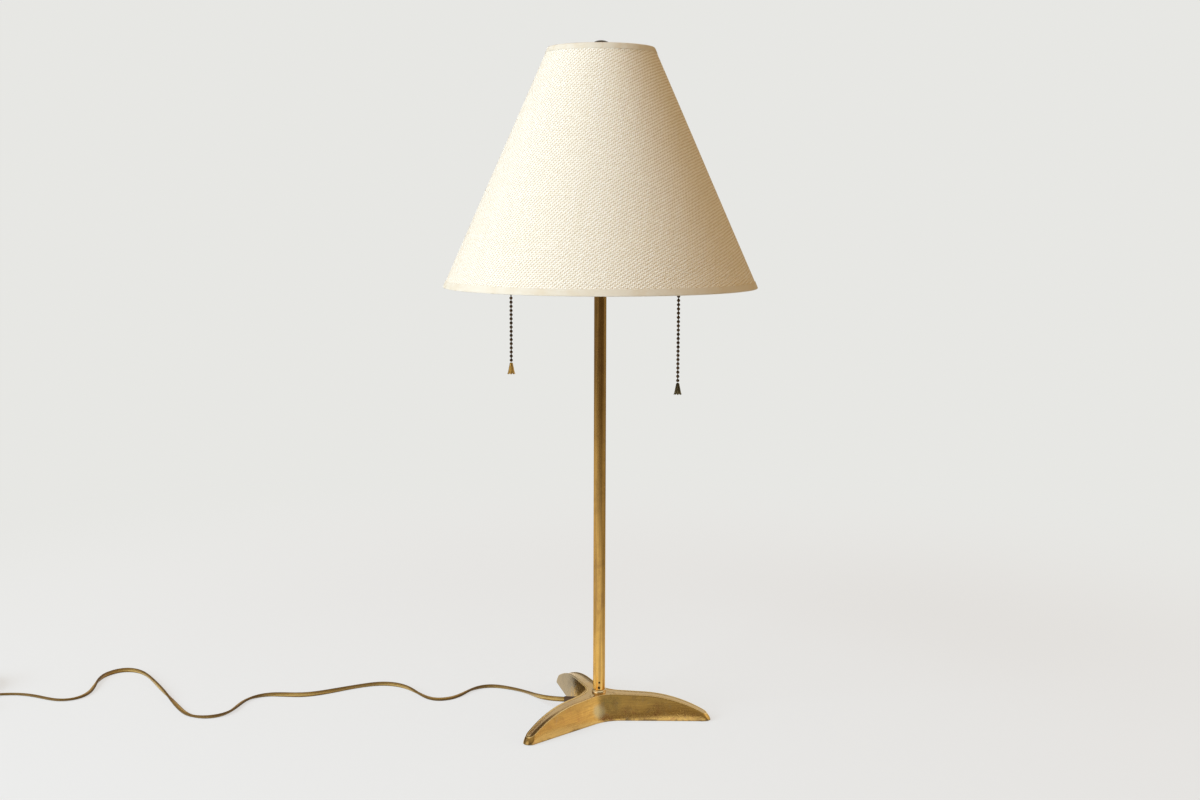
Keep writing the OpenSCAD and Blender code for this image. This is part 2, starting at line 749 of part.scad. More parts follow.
module riser_nuts() {
    color("goldenrod") for (z = [cup_top - riser_nut_t, cup_top + cover_t]) translate([0, 0, z])
        difference() {
            hexagon(riser_nut_af, riser_nut_t);
            translate([0, 0, -1]) cylinder(h = riser_nut_t + 2, r = riser_r + seat_gap);
        }
}

module shade_rest() {
    color("peru") translate([0, 0, hub_z - 0.1 - rest_h]) rotate_extrude() polygon([
        [riser_r + seat_gap, 0], [rest_r * 0.6, 0], [rest_r, rest_h - 1.5], [rest_r, rest_h],
        [riser_r + seat_gap, rest_h]
    ]);
}

module spider() {
    ring_r = shade_r(ring_top_z) - ring_in * shade_lean;
    color("peru") difference() {
        union() {
            translate([0, 0, hub_z]) cylinder(h = hub_t, r = hub_r);
            translate([0, 0, ring_top_z]) rotate_extrude() translate([ring_r, 0]) circle(d = ring_wire_d);
            for (i = [0:spoke_count - 1]) rotate([0, 0, 30 + 360 * i / spoke_count])
                rod([hub_r - 2, 0, hub_z + hub_t / 2], [ring_r, 0, ring_top_z], ring_wire_d / 2);
        }
        translate([0, 0, hub_z - 3]) cylinder(h = hub_t + 6, r = riser_r + run_gap);
    }
}

module finial() {
    r = finial_d / 2;
    neck = riser_r + 1.6;
    brim_z = finial_h * 0.55;
    color("darkslategray") translate([0, 0, finial_z]) rotate_extrude() polygon(concat(
        [[riser_r + run_gap, 0], [neck + 1, 0], [neck + 1, 1.5], [neck, 2.2], [neck, 4],
            [r - 1.2, brim_z - 0.8], [r, brim_z]],
        [for (k = [1:9]) [r * cos(k * 10), brim_z + (finial_h - brim_z) * sin(k * 10)]],
        [[0, finial_bore_h], [riser_r + run_gap, finial_bore_h]]
    ));
}

module bottom_ring() {
    ring_r = shade_r(ring_bottom_z) - ring_in * shade_lean;
    color("peru") translate([0, 0, ring_bottom_z]) rotate_extrude() translate([ring_r, 0]) circle(d = ring_wire_d);
}

// cone wall between two depths below the cover's outer face, from height z0 to z1
module cone_wall(d0, d1, z0, z1) {
    rotate_extrude($fn = 128) polygon([
        [shade_r(z0) - d0 * shade_lean, z0], [shade_r(z1) - d0 * shade_lean, z1],
        [shade_r(z1) - d1 * shade_lean, z1], [shade_r(z0) - d1 * shade_lean, z0]
    ]);
}

module shade_cover() {
    color("ivory") cone_wall(0, cover_cloth_t, shade_z, shade_top);
}

module shade_liner() {
    color("white") cone_wall(cover_cloth_t + glue_gap, liner_r_in, shade_z, shade_top);
}

module bottom_tape() {
    color("cornsilk") {
        cone_wall(-glue_gap - tape_t, -glue_gap, shade_z, shade_z + tape_bottom_w);
        cone_wall(-glue_gap - tape_t, liner_r_in, shade_z - glue_gap - tape_t, shade_z - glue_gap);
        cone_wall(-glue_gap - tape_t, -glue_gap, shade_z - glue_gap, shade_z);
    }
}

module top_tape() {
    color("cornsilk") {
        cone_wall(-glue_gap - tape_t, -glue_gap, shade_top - tape_top_w, shade_top + glue_gap);
        cone_wall(-glue_gap - tape_t, liner_r_in, shade_top + glue_gap, shade_top + glue_gap + tape_t);
    }
}

// ---------- cord, coil and plug ----------

module cord_run() {
    out = polar(1, notch_turn);
    gland_line = [for (s = [cord_start, 24, 34]) [out[0] * s, out[1] * s, gland_z]];
    coil_in = [coil_at[0], coil_at[1] - coil_turn_r - cord_d / 2, coil_lift + cord_d / 2];
    color("saddlebrown") bar(spline(concat(gland_line, cord_points, [coil_in]), 2), cord_d / 2);
}

module coil_section(grow) {
    h = coil_layers * cord_d;
    c = 1.2;
    w = cord_d + grow;
    z0 = coil_lift - grow;
    z1 = coil_lift + h + grow;
    translate([coil_turn_r, 0])
        polygon([[-w, z0 + c], [c - w, z0], [w - c, z0], [w, z0 + c], [w, z1 - c], [w - c, z1], [c - w, z1], [-w, z1 - c]]);
}

module cord_coil() {
    color("saddlebrown") translate([coil_at[0], coil_at[1], 0]) rotate_extrude() coil_section(0);
}

module coil_tie() {
    color("dimgray") translate([coil_at[0], coil_at[1], 0]) rotate([0, 0, tie_turn]) intersection() {
        difference() {
            rotate_extrude() coil_section(coil_lift);
            rotate_extrude() coil_section(0);
        }
        translate([0, -tie_w / 2, 0]) cube([2 * coil_turn_r, tie_w, plug_h * 2]);
    }
}

module cord_tail() {
    coil_out = [coil_at[0] + coil_turn_r + cord_d / 2, coil_at[1], coil_lift + (coil_layers - 0.5) * cord_d];
    plug_in = [plug_at[0], plug_at[1], plug_h / 2];
    color("saddlebrown") bar(spline(concat([coil_out], tail_points, [plug_in]), 1), cord_d / 2);
}

module plug_body() {
    edge = 3;
    neck_r = cord_d / 2 + 1.6;
    color("saddlebrown") translate([plug_at[0], plug_at[1], plug_h / 2]) hull() {
        rotate([90, 0, 0]) cylinder(h = 6, r = neck_r, $fn = 24);
        for (x = [-1, 1], z = [-1, 1]) translate([x * (plug_w / 2 - edge), 0, z * (plug_h / 2 - edge)])
            rotate([90, 0, 0]) translate([0, 0, plug_len - 15]) cylinder(h = 15, r = edge, $fn = 24);
    }
}

module plug_blades() {
    color("silver") for (x = [-1, 1])
        translate([plug_at[0] + x * blade_off - blade_t / 2, plug_at[1] - plug_len - blade_len, (plug_h - blade_w) / 2])
            cube([blade_t, blade_len, blade_w]);
}

tripod_foot();
foot_pads();
stem_seat();
stem_tube();
lamp_pipe();
base_washer();
base_nut();
cord_bushing();
lead_wires();
cluster_cup();
cluster_cover();
wire_connectors();
socket_wires();
arm_left();
arm_right();
cap(-1);  // cap_left
cap(1);  // cap_right
shell(-1);  // shell_left
shell(1);  // shell_right
sleeve(-1);  // sleeve_left
sleeve(1);  // sleeve_right
switch_block(-1);  // switch_left
switch_block(1);  // switch_right
screw_shell(-1);  // screw_shell_left
screw_shell(1);  // screw_shell_right
contact(-1);  // contact_left
contact(1);  // contact_right
chain_guide(-1);  // chain_guide_left
chain_guide(1);  // chain_guide_right
chain_slider(-1);  // chain_slider_left
chain_slider(1);  // chain_slider_right
chain_joint(-1);  // chain_joint_left
chain_joint(1);  // chain_joint_right
pull_chain(-1);  // pull_chain_left
pull_chain(1);  // pull_chain_right
chain_bell(-1);  // chain_bell_left
chain_bell(1);  // chain_bell_right
bulb_base(-1);  // bulb_base_left
bulb_base(1);  // bulb_base_right
bulb_glass(-1);  // bulb_glass_left
bulb_glass(1);  // bulb_glass_right
riser_rod();
riser_nuts();
shade_rest();
spider();
finial();
bottom_ring();
shade_liner();
shade_cover();
top_tape();
bottom_tape();
cord_run();
cord_coil();
coil_tie();
cord_tail();
plug_body();
plug_blades();
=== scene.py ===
# %% [markdown]
# # A tripod table lamp: cast brass foot, slim stem, two pull chains and a linen cone shade
#
# The lamp's frame comes packed from its construction model, in metres, with +Z up and the origin
# on the floor under the stem. This lesson dresses it: it makes the curved pieces again as fine
# surfaces, lays the cord, and gives every piece a finish. Nothing in the frame is moved.

# %% The frame
import math

import bmesh
import bpy
import numpy as np
from mathutils import Matrix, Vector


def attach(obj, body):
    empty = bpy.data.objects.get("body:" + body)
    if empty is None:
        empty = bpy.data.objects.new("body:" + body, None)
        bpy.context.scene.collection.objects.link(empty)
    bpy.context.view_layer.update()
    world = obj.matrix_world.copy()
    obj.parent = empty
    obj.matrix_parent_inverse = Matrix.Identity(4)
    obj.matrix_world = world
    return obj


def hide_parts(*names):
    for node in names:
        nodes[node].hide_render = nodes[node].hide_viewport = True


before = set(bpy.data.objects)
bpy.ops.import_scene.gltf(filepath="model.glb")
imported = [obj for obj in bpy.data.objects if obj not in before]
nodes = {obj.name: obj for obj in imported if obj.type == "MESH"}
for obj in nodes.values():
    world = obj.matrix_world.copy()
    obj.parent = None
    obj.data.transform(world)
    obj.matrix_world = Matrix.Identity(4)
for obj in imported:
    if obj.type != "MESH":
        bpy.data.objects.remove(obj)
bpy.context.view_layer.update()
MM = 0.001
SAME_SPOT = 1e-7
new_pieces = []

# %% [markdown]
# ## The camera
#
# The photograph was taken from the height of the shade's lower half. A camera fitted to the rims
# of the shade and the ends of the foot stands 1.45 m in front of the stem and looks down 7.5
# degrees. A lens of 44.5 mm on a 36 mm sensor gives the same frame.

# %% The camera
CAMERA_PLACE = (0.0, -1.4478, 0.5131)
CAMERA_PITCH = 0.1317
CAMERA_ROLL = 0.0035
LENS, SENSOR = 44.49, 36.0
camera_data = bpy.data.cameras.new("camera")
camera_data.sensor_width = SENSOR
camera_data.lens = LENS
camera = bpy.data.objects.new("camera", camera_data)
bpy.context.scene.collection.objects.link(camera)
camera.location = CAMERA_PLACE
camera.rotation_mode = "QUATERNION"
look = Matrix.Rotation(math.pi / 2 - CAMERA_PITCH, 4, "X") @ Matrix.Rotation(CAMERA_ROLL, 4, "Z")
camera.rotation_quaternion = look.to_quaternion()
bpy.context.scene.camera = camera
bpy.context.scene.view_settings.view_transform = "Standard"

# %% [markdown]
# ## Meshes from arrays
#
# Every new piece is a grid of points: rows along one parameter and columns along the other. Two
# helpers turn such a grid into a mesh. A side that wraps is joined to its first line again, so a
# ring or a tube has no open seam. Points that fall on one spot, as at a pole, are merged.


# %% Meshes from arrays
def grid_faces(rows, columns, wrap_rows=False, wrap_columns=False):
    """Quads between neighbours of a grid whose point (r, c) has the number r * columns + c."""
    r, c = np.meshgrid(
        np.arange(rows if wrap_rows else rows - 1),
        np.arange(columns if wrap_columns else columns - 1),
        indexing="ij",
    )
    r2, c2 = (r + 1) % rows, (c + 1) % columns
    corners = [r * columns + c, r * columns + c2, r2 * columns + c2, r2 * columns + c]
    return np.stack(corners, -1).reshape(-1, 4)


def mesh_piece(name, points, faces, smooth=True, attributes=None, uv=None, sharp=40.0):
    """A new object with these points (n, 3) and faces (m, 4), its faces turned outwards.

    attributes holds one float per point by name; uv holds one pair per point. Edges that bend by
    more than sharp degrees stay crisp."""
    mesh = bpy.data.meshes.new(name)
    mesh.vertices.add(len(points))
    mesh.vertices.foreach_set("co", np.asarray(points, np.float32).ravel())
    mesh.loops.add(faces.size)
    mesh.loops.foreach_set("vertex_index", faces.astype(np.int32).ravel())
    mesh.polygons.add(len(faces))
    mesh.polygons.foreach_set(
        "loop_start", np.arange(0, faces.size, faces.shape[1], dtype=np.int32)
    )
    mesh.update(calc_edges=True)
    for key, values in (attributes or {}).items():
        layer = mesh.attributes.new(key, "FLOAT", "POINT")
        layer.data.foreach_set("value", np.asarray(values, np.float32).ravel())
    if uv is not None:
        layer = mesh.uv_layers.new(name="pattern")
        layer.data.foreach_set("uv", np.asarray(uv, np.float32)[faces.ravel()].ravel())
    work = bmesh.new()
    work.from_mesh(mesh)
    bmesh.ops.remove_doubles(work, verts=work.verts, dist=SAME_SPOT)
    bmesh.ops.dissolve_degenerate(work, edges=work.edges, dist=SAME_SPOT)
    bmesh.ops.recalc_face_normals(work, faces=work.faces)
    work.to_mesh(mesh)
    work.free()
    mesh.polygons.foreach_set("use_smooth", np.full(len(mesh.polygons), smooth))
    if smooth:
        mesh.set_sharp_from_angle(angle=math.radians(sharp))
    piece = bpy.data.objects.new(name, mesh)
    bpy.context.scene.collection.objects.link(piece)
    return piece


def closed_ends(rings):
    """The rings of a tube with a ring of no size added at each end, which closes it."""
    first, last = rings[:1].mean(1, keepdims=True), rings[-1:].mean(1, keepdims=True)
    size = rings.shape[1]
    return np.concatenate([np.repeat(first, size, 1), rings, np.repeat(last, size, 1)])


def stand_in_for(piece, body, slot, *replaced):
    """The piece rides on a body, takes its finish from a slot and replaces nodes of the frame."""
    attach(piece, body)
    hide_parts(*replaced)
    new_pieces.append((piece, slot))
    return piece


def lathe(name, profile, segments=96, centre=(0.0, 0.0), ripple=None, **options):
    """A profile of (radius, height) pairs turned about the upright line through centre.

    Point (i, k) is (r_i cos a_k, r_i sin a_k, z_i), with a_k = 2 pi k / segments. ripple may change
    the radius and height arrays: it gets (r, z, a) and returns (r, z)."""
    profile = np.asarray(profile, float)
    a = np.arange(segments) * 2 * math.pi / segments
    r = np.repeat(profile[:, :1], segments, 1)
    z = np.repeat(profile[:, 1:], segments, 1)
    if ripple:
        r, z = ripple(r, z, a[None, :])
    points = np.stack([centre[0] + r * np.cos(a), centre[1] + r * np.sin(a), z], -1)
    faces = grid_faces(len(profile), segments, wrap_rows=True, wrap_columns=True)
    return mesh_piece(name, points.reshape(-1, 3), faces, **options)


def arc_points(centre, radius, start, end, count):
    """Points on a circle's arc in the profile plane, from start to end degrees."""
    a = np.radians(np.linspace(start, end, count))
    return np.stack([centre[0] + radius * np.cos(a), centre[1] + radius * np.sin(a)], -1)


# %% [markdown]
# ## The cord
#
# The lamp hangs on a flat brown two-core cord, 5 mm wide and half as thick. It leaves the foot's
# left hollow, wanders over the table in loose waves and goes out of the picture. The rest of its
# 1.86 m is stored as a small coil beside the plug. The waves are a cubic B-spline near points
# chosen along the photographed cord. The coil's turns follow a formula: they fill two columns and
# three layers, each turn stepping to its next place over most of a quarter turn.

# %% The cord's route
CORD_WIDTH = 5.0 * MM
CORD_WEB = 1.7 * MM
RING_STEP = 2.4 * MM
ROUTE = MM * np.array([
    [-48, 7, 14], [-60, 20, 11.5], [-68, 40, 7], [-80, 62, 4],
    [-97, 77, 2.5], [-117, 84, 2.5], [-135, 74, 2.5], [-144, 54, 2.5], [-158, 40, 2.5],
    [-175, 40, 2.5], [-189, 56, 2.5], [-207, 82, 2.5], [-236, 92, 2.5], [-273, 69, 2.5],
    [-307, 45, 2.5], [-345, 55, 2.5], [-366, 41, 2.5], [-370, 16, 2.5], [-374, -7, 2.5],
    [-389, -19, 2.5], [-410, -16, 2.5], [-425, 5, 2.5], [-446, 40, 2.5], [-470, 79, 2.5],
    [-489, 111, 2.5], [-506, 130, 2.5], [-526, 133, 2.5], [-540, 113, 2.5], [-539, 86, 2.5],
    [-534, 58, 2.5], [-542, 36, 2.5], [-562, 30, 2.5], [-588, 46, 2.5], [-618, 55, 2.5],
    [-650, 41, 2.8],
])
TAIL = MM * np.array([[-645.2, 58, 13.2], [-645, 46, 11.5], [-644, 34, 8.5], [-643, 22, 7.2]])
HOLLOW_TURN = math.radians(-8.26 + 180)
GLAND_Z = 14 * MM
GLAND_RADII = (14.4 * MM, 24 * MM, 34 * MM)
COIL_AT = np.array([-676, 70]) * MM
COIL_INNER, COIL_OUTER = 25.5 * MM, 30.5 * MM
COIL_LOW = 3.3 * MM
PLUG_FACE = np.array([-643, 14, 7]) * MM


def spline(points, steps=8):
    """A uniform cubic B-spline near the points, from the first point to the last.

    Each span weighs four neighbours by (1-t)^3, 3t^3-6t^2+4, 3t+3t^2-3t^3+1 and t^3, all over 6."""
    p = np.asarray(points, float)
    q = np.vstack([2 * p[0] - p[1], p, 2 * p[-1] - p[-2]])
    t = np.arange(steps) / steps
    weights = np.stack(
        [(1 - t) ** 3, 3 * t**3 - 6 * t**2 + 4, 3 * t + 3 * t**2 - 3 * t**3 + 1, t**3], 1
    ) / 6
    spans = [weights @ q[i:i + 4] for i in range(len(p) - 1)]
    return np.vstack([*spans, p[-1]])


def ease(x):
    """0 before 0, 1 after 1, and half a cosine wave between."""
    return 0.5 - 0.5 * np.cos(math.pi * np.clip(x, 0, 1))


def coil_line(turn=340.0, shift=88.0, total=1710.0, count=420):
    """The coil, clockwise from above, from its near side on the floor to its right side on top.

    After each turn of the cord it steps by one width: in, up, out and up again."""
    a = np.linspace(0, total, count)
    step = [ease((a - (turn * (k + 1) - shift)) / shift) for k in range(4)]
    across = COIL_OUTER - COIL_INNER
    r = COIL_OUTER - across * step[0] + across * step[2]
    z = COIL_LOW + CORD_WIDTH * (step[1] + step[3])
    angle = np.radians(-90 - a)
    return np.stack([COIL_AT[0] + r * np.cos(angle), COIL_AT[1] + r * np.sin(angle), z], -1)


gland_line = [(r * math.cos(HOLLOW_TURN), r * math.sin(HOLLOW_TURN), GLAND_Z) for r in GLAND_RADII]
coil = coil_line()
run = spline(np.vstack([gland_line, ROUTE, coil[:1]]))
tail = spline(np.vstack([coil[-1:], TAIL, [PLUG_FACE]]))
whole = np.vstack([run[:-1], coil, tail[1:]])
along = np.concatenate([[0], np.cumsum(np.linalg.norm(np.diff(whole, axis=0), axis=1))])
CORD_LENGTH = float(along[-1])
cord_s = np.linspace(0, CORD_LENGTH, int(CORD_LENGTH / RING_STEP))
cord_line = np.stack([np.interp(cord_s, along, whole[:, k]) for k in range(3)], -1)
print(f"the cord is {CORD_LENGTH:.3f} m long, {along[len(run) - 1]:.3f} m of it before the coil")

# %% [markdown]
# ## The cord's section
#
# Its section is two touching cores, so a formula in polar form does: the radius squared is
# (2a cos f)^2 + (w sin f)^2, with a the radius of a core and w half the thickness of the web
# between them. The ribbon twists slowly as it goes, which shows the line between its cores now
# wide and now narrow. Each ring sits as high as its turned section needs, so that it lies on the
# table. In the coil it stands on edge, as a flat cord does when it is wound.


# %% The cord's surface
def frames_along(line):
    """For each point of a line: its direction, the level direction across it, and the third one."""
    forward = np.gradient(line, axis=0)
    forward /= np.linalg.norm(forward, axis=1, keepdims=True)
    across = np.cross([0, 0, 1.0], forward)
    across /= np.linalg.norm(across, axis=1, keepdims=True)
    return forward, across, np.cross(forward, across)


def twin_section(width, web, count):
    """Two touching round cores: r^2 = (width/2 cos f)^2 + (web/2 sin f)^2."""
    f = np.arange(count) * 2 * math.pi / count
    r = np.hypot(width / 2 * np.cos(f), web / 2 * np.sin(f))
    return np.stack([r * np.cos(f), r * np.sin(f)], -1)


core_section = twin_section(CORD_WIDTH, CORD_WEB, 20)
coil_start, coil_end = along[len(run) - 1], along[len(run) + len(coil) - 2]
slow_wave = np.sin(cord_s * 2 * math.pi / 0.33 + 1.2)
quick_wave = np.sin(cord_s * 2 * math.pi / 0.117)
wander = 50 + 34 * slow_wave + 20 * quick_wave
in_coil = ease((cord_s - coil_start + 0.06) / 0.06) * (1 - ease((cord_s - coil_end) / 0.04))
at_plug = ease((cord_s - coil_end) / 0.045)
twist = np.radians(wander * (1 - in_coil) * (1 - at_plug) + 90 * in_coil)
core_x, core_y = core_section.T
cos_twist, sin_twist = np.cos(twist)[:, None], np.sin(twist)[:, None]
turned_x = core_x * cos_twist - core_y * sin_twist
turned_y = core_x * sin_twist + core_y * cos_twist
lying = 1 - np.clip((cord_line[:, 2] - CORD_WIDTH / 2) / (4 * MM), 0, 1)
rest_drop = (CORD_WIDTH / 2 - np.abs(turned_y).max(1)) * lying * (1 - in_coil)
cord_path = cord_line - np.stack([0 * rest_drop, 0 * rest_drop, rest_drop], -1)
_, cord_across, cord_up = frames_along(cord_path)
rings = cord_path[:, None] + turned_x[..., None] * cord_across[:, None]
rings = closed_ends(rings + turned_y[..., None] * cord_up[:, None])
ring_count, ring_size = rings.shape[:2]
waist = np.abs(core_x) / (CORD_WIDTH / 2)
cord = mesh_piece(
    "lamp_cord",
    rings.reshape(-1, 3),
    grid_faces(ring_count, ring_size, wrap_columns=True),
    attributes={
        "waist": np.tile(waist, ring_count),
        "run": np.repeat(np.concatenate([[0], cord_s, [CORD_LENGTH]]), ring_size),
    },
)
stand_in_for(cord, "lamp", "cord_brown", "cord_run", "cord_coil", "cord_tail")
print("the cord has", len(cord.data.polygons), "faces")

# %% [markdown]
# ## The plug and the coil's tie
#
# The plug is moulded: round where the cord goes in, then wide and flat, with ribs for the
# fingers. Its rings are superellipses, |x/w|^n + |z/h|^n = 1, whose width, height and power all
# change along its length. The tie is a paper-covered wire bent round the bundle and twisted.


# %% The plug
def superellipse(w, h, power, a):
    """Points (w c^(2/n), h s^(2/n)) with signs kept, for angles a; w, h and power may be arrays."""
    c, s = np.cos(a), np.sin(a)
    return (w * np.sign(c) * np.abs(c) ** (2 / power), h * np.sign(s) * np.abs(s) ** (2 / power))


PLUG_LENGTH = 26 * MM
PLUG_POINTS = 64
CAP_FROM, CAP_SHARE = 0.94, 0.06
RIB_HEIGHT, RIB_STEP = 0.28 * MM, 1.9 * MM
cap_t = CAP_FROM + CAP_SHARE * np.sin(np.linspace(0.2, math.pi / 2, 9))
plug_t = np.concatenate([np.linspace(0, CAP_FROM, 70), cap_t])
plug_edge = np.sqrt(np.clip(1 - ((plug_t - CAP_FROM) / CAP_SHARE).clip(0) ** 2, 0.0, 1))
plug_swell = ease((plug_t - 0.2) / 0.34)
plug_ribs = RIB_HEIGHT * np.cos(plug_t * PLUG_LENGTH / RIB_STEP * 2 * math.pi)
plug_ribs *= ease((plug_t - 0.3) / 0.06)
plug_ribs *= 1 - ease((plug_t - 0.72) / 0.06)
plug_half_w = (4.1 + 7.9 * plug_swell) * MM - 1.1 * MM * (1 - plug_edge)
plug_half_h = (4.1 + 2.6 * plug_swell) * MM - 1.1 * MM * (1 - plug_edge)
plug_half_h = plug_half_h + plug_ribs - RIB_HEIGHT * plug_swell
plug_power = 2 + 2.2 * plug_swell
plug_a = np.arange(PLUG_POINTS) * 2 * math.pi / PLUG_POINTS
plug_x, plug_z = superellipse(
    plug_half_w[:, None], plug_half_h[:, None], plug_power[:, None], plug_a[None, :]
)
plug_y = np.repeat((PLUG_FACE[1] - plug_t * PLUG_LENGTH)[:, None], PLUG_POINTS, 1)
plug_rings = closed_ends(np.stack([PLUG_FACE[0] + plug_x, plug_y, PLUG_FACE[2] + plug_z], -1))
plug = mesh_piece(
    "plug_shell", plug_rings.reshape(-1, 3), grid_faces(*plug_rings.shape[:2], wrap_columns=True)
)
stand_in_for(plug, "lamp", "plug_brown", "plug_body")

# %% The coil's tie
TIE_TURN = math.radians(200)
TIE_POINTS, TWIST_POINTS = 60, 40
BUNDLE_AT = (28 * MM, 8.3 * MM)
BUNDLE_HALF = (5 * MM, 7.5 * MM)
TIE_HALF_WIDTH = 2.2 * MM
TWIST_R, TWIST_LOW, TWIST_HIGH = 30.5 * MM, 16.0 * MM, 11 * MM
STRIP_HALF = (1.5 * MM, 0.3 * MM)
tie_out = np.array([math.cos(TIE_TURN), math.sin(TIE_TURN), 0])
tie_a = np.arange(TIE_POINTS) * 2 * math.pi / TIE_POINTS
tie_rows = []
for grow, side in ((0.12, -1), (0.62, -1), (0.62, 1), (0.12, 1)):
    bend = superellipse(BUNDLE_HALF[0] + grow * MM, BUNDLE_HALF[1] + grow * MM, 4.5, tie_a)
    radial, height = BUNDLE_AT[0] + bend[0], BUNDLE_AT[1] + bend[1]
    wide = side * TIE_HALF_WIDTH
    x = COIL_AT[0] + radial * math.cos(TIE_TURN) - wide * math.sin(TIE_TURN)
    y = COIL_AT[1] + radial * math.sin(TIE_TURN) + wide * math.cos(TIE_TURN)
    tie_rows.append(np.stack([x, y, height], -1))
tie_faces = grid_faces(4, TIE_POINTS, True, True)
tie = mesh_piece("paper_tie", np.array(tie_rows).reshape(-1, 3), tie_faces, sharp=50)
twist_t = np.linspace(0, 1, TWIST_POINTS)
twist_parts = []
for phase in (0, math.pi):
    turn_angle = phase + twist_t * 2.5 * 2 * math.pi
    cos_turn, sin_turn = np.cos(turn_angle), np.sin(turn_angle)
    line = np.array([*COIL_AT, 0]) + TWIST_R * tie_out + np.stack([
        1.0 * MM * cos_turn + 6 * MM * twist_t,
        1.0 * MM * sin_turn,
        TWIST_LOW + TWIST_HIGH * twist_t,
    ], -1)
    _, across, up = frames_along(line)
    strip = []
    for x_side, y_side in ((-1, -1), (1, -1), (1, 1), (-1, 1)):
        cx, cy = x_side * STRIP_HALF[0], y_side * STRIP_HALF[1]
        right, high = cx * cos_turn - cy * sin_turn, cx * sin_turn + cy * cos_turn
        strip.append(line + right[:, None] * across + high[:, None] * up)
    strip = closed_ends(np.stack(strip, 1))
    faces = grid_faces(len(strip), 4, wrap_columns=True)
    twist_parts.append(mesh_piece(f"twist_{phase:.0f}", strip.reshape(-1, 3), faces))
with bpy.context.temp_override(active_object=tie, selected_editable_objects=[tie, *twist_parts]):
    bpy.ops.object.join()
stand_in_for(tie, "lamp", "tie_paper", "coil_tie")

# %% [markdown]
# ## The cast foot
#
# The foot is one brass casting with three legs. Seen from above, its outline is three rounded
# leg ends joined by hollows, once at the floor and once, narrower, at the top. The wall between
# the two outlines bulges: its share of the top outline grows as height to the power 1.6. Along
# both edges of the top runs a thin raised bead, and between the beads the top is slightly hollow.
# All of it is one grid: the columns go round the outline, and the rows climb the wall, cross the
# bead and run in over the top. The pocket, bores and channels underneath are cut out after that.

# %% The foot's outlines
HUB_TOP = 24 * MM
FOOT_LOW = 0.8 * MM
LEG_TURN = -8.26
LEG_TIP = 113 * MM
CROWN_LEVEL, CROWN_ARC = 45 * MM, 130 * MM


def crown(s):
    """Height of the top line at distance s from the axis: level to 45 mm, then a 130 mm arc."""
    fall = np.clip(s - CROWN_LEVEL, 0, None)
    return HUB_TOP - CROWN_ARC + np.sqrt(CROWN_ARC**2 - fall**2)


def leg_outline(hollow_r, taper, tip_r, tip_at, counts=(22, 40, 34)):
    """One leg's outline, from the middle of a hollow to just before the middle of the next.

    The hollow is a circle of radius hollow_r on the line at -60 degrees, the leg's end one of
    radius tip_r at tip_at, and a straight side of slope taper touches both."""
    lean = math.atan(taper)
    reach = (hollow_r + tip_r) * math.hypot(1, taper) + taper * tip_at
    reach /= taper * 0.5 + math.cos(math.pi / 6)
    centre = reach * np.array([0.5, -math.cos(math.pi / 6)])
    inner = arc_points(centre, hollow_r, 120, 90 + math.degrees(lean), counts[0])
    end = arc_points(
        (tip_at, 0), tip_r, math.degrees(lean) - 90, 90 - math.degrees(lean), counts[2]
    )
    share = (np.arange(1, counts[1]) / counts[1])[:, None]
    half = np.vstack([inner, inner[-1] + (end[0] - inner[-1]) * share])
    return np.vstack([half, end, (half * [1, -1])[:0:-1]])


def all_legs(line):
    """The outline of one leg, turned to each of the three legs and joined."""
    turned = []
    for leg in range(3):
        a = math.radians(LEG_TURN + 120 * leg)
        turned.append(line @ np.array([[math.cos(a), math.sin(a)], [-math.sin(a), math.cos(a)]]))
    return np.vstack(turned)


floor_line = all_legs(leg_outline(37 * MM, 0.137, 6.4 * MM, LEG_TIP - 6.4 * MM))
top_line = all_legs(leg_outline(28 * MM, 0.03, 5 * MM, LEG_TIP - 8.5 * MM))
along_top = np.roll(top_line, -1, 0) - np.roll(top_line, 1, 0)
inward = np.stack([-along_top[:, 1], along_top[:, 0]], -1)
inward /= np.linalg.norm(inward, axis=1, keepdims=True)

# %% The foot's surface
BEAD_WIDTH = 1.6 * MM
BEAD_HEIGHT = 0.5 * MM
DISH_DEPTH = 1.1 * MM
foot_rows, bead_share = [], []
for t in np.concatenate([[0, 0.012, 0.03], np.linspace(0.06, 1, 24)]):
    share = t**1.6
    edge_round = 0.5 * MM * (1 - min(t / 0.03, 1)) ** 2
    plan = floor_line * (1 - share) + top_line * share + inward * edge_round
    height = FOOT_LOW + t * (crown(np.linalg.norm(top_line, axis=1)) - FOOT_LOW)
    foot_rows.append(np.column_stack([plan, height]))
    bead_share.append(0.0)
for a in np.radians(np.linspace(12, 180, 11)):
    plan = top_line + inward * (BEAD_WIDTH / 2 * (1 - math.cos(a)) - 0.1 * MM * math.sin(a))
    height = crown(np.linalg.norm(plan, axis=1)) + BEAD_HEIGHT * math.sin(a)
    foot_rows.append(np.column_stack([plan, height]))
    bead_share.append(1.0)
bed_line = top_line + inward * (BEAD_WIDTH + 0.5 * MM)
for share in np.concatenate([1 - 0.012 * np.arange(0, 8), np.linspace(0.9, 0, 34)]):
    plan = bed_line * share
    gap = np.full(len(plan), 1.0)
    for start in range(0, len(plan), 64):
        block = plan[start:start + 64]
        gap[start:start + 64] = np.linalg.norm(block[:, None] - top_line[None], axis=2).min(1)
    middle = np.linalg.norm(plan, axis=1)
    dish = DISH_DEPTH * (1 - np.exp(-((gap - BEAD_WIDTH) / (2.2 * MM)).clip(0) ** 1.5))
    dish = dish * ease((middle - 8 * MM) / (8 * MM))
    foot_rows.append(np.column_stack([plan, crown(middle) - dish]))
    bead_share.append(2.0)
foot_grid = np.array(foot_rows)
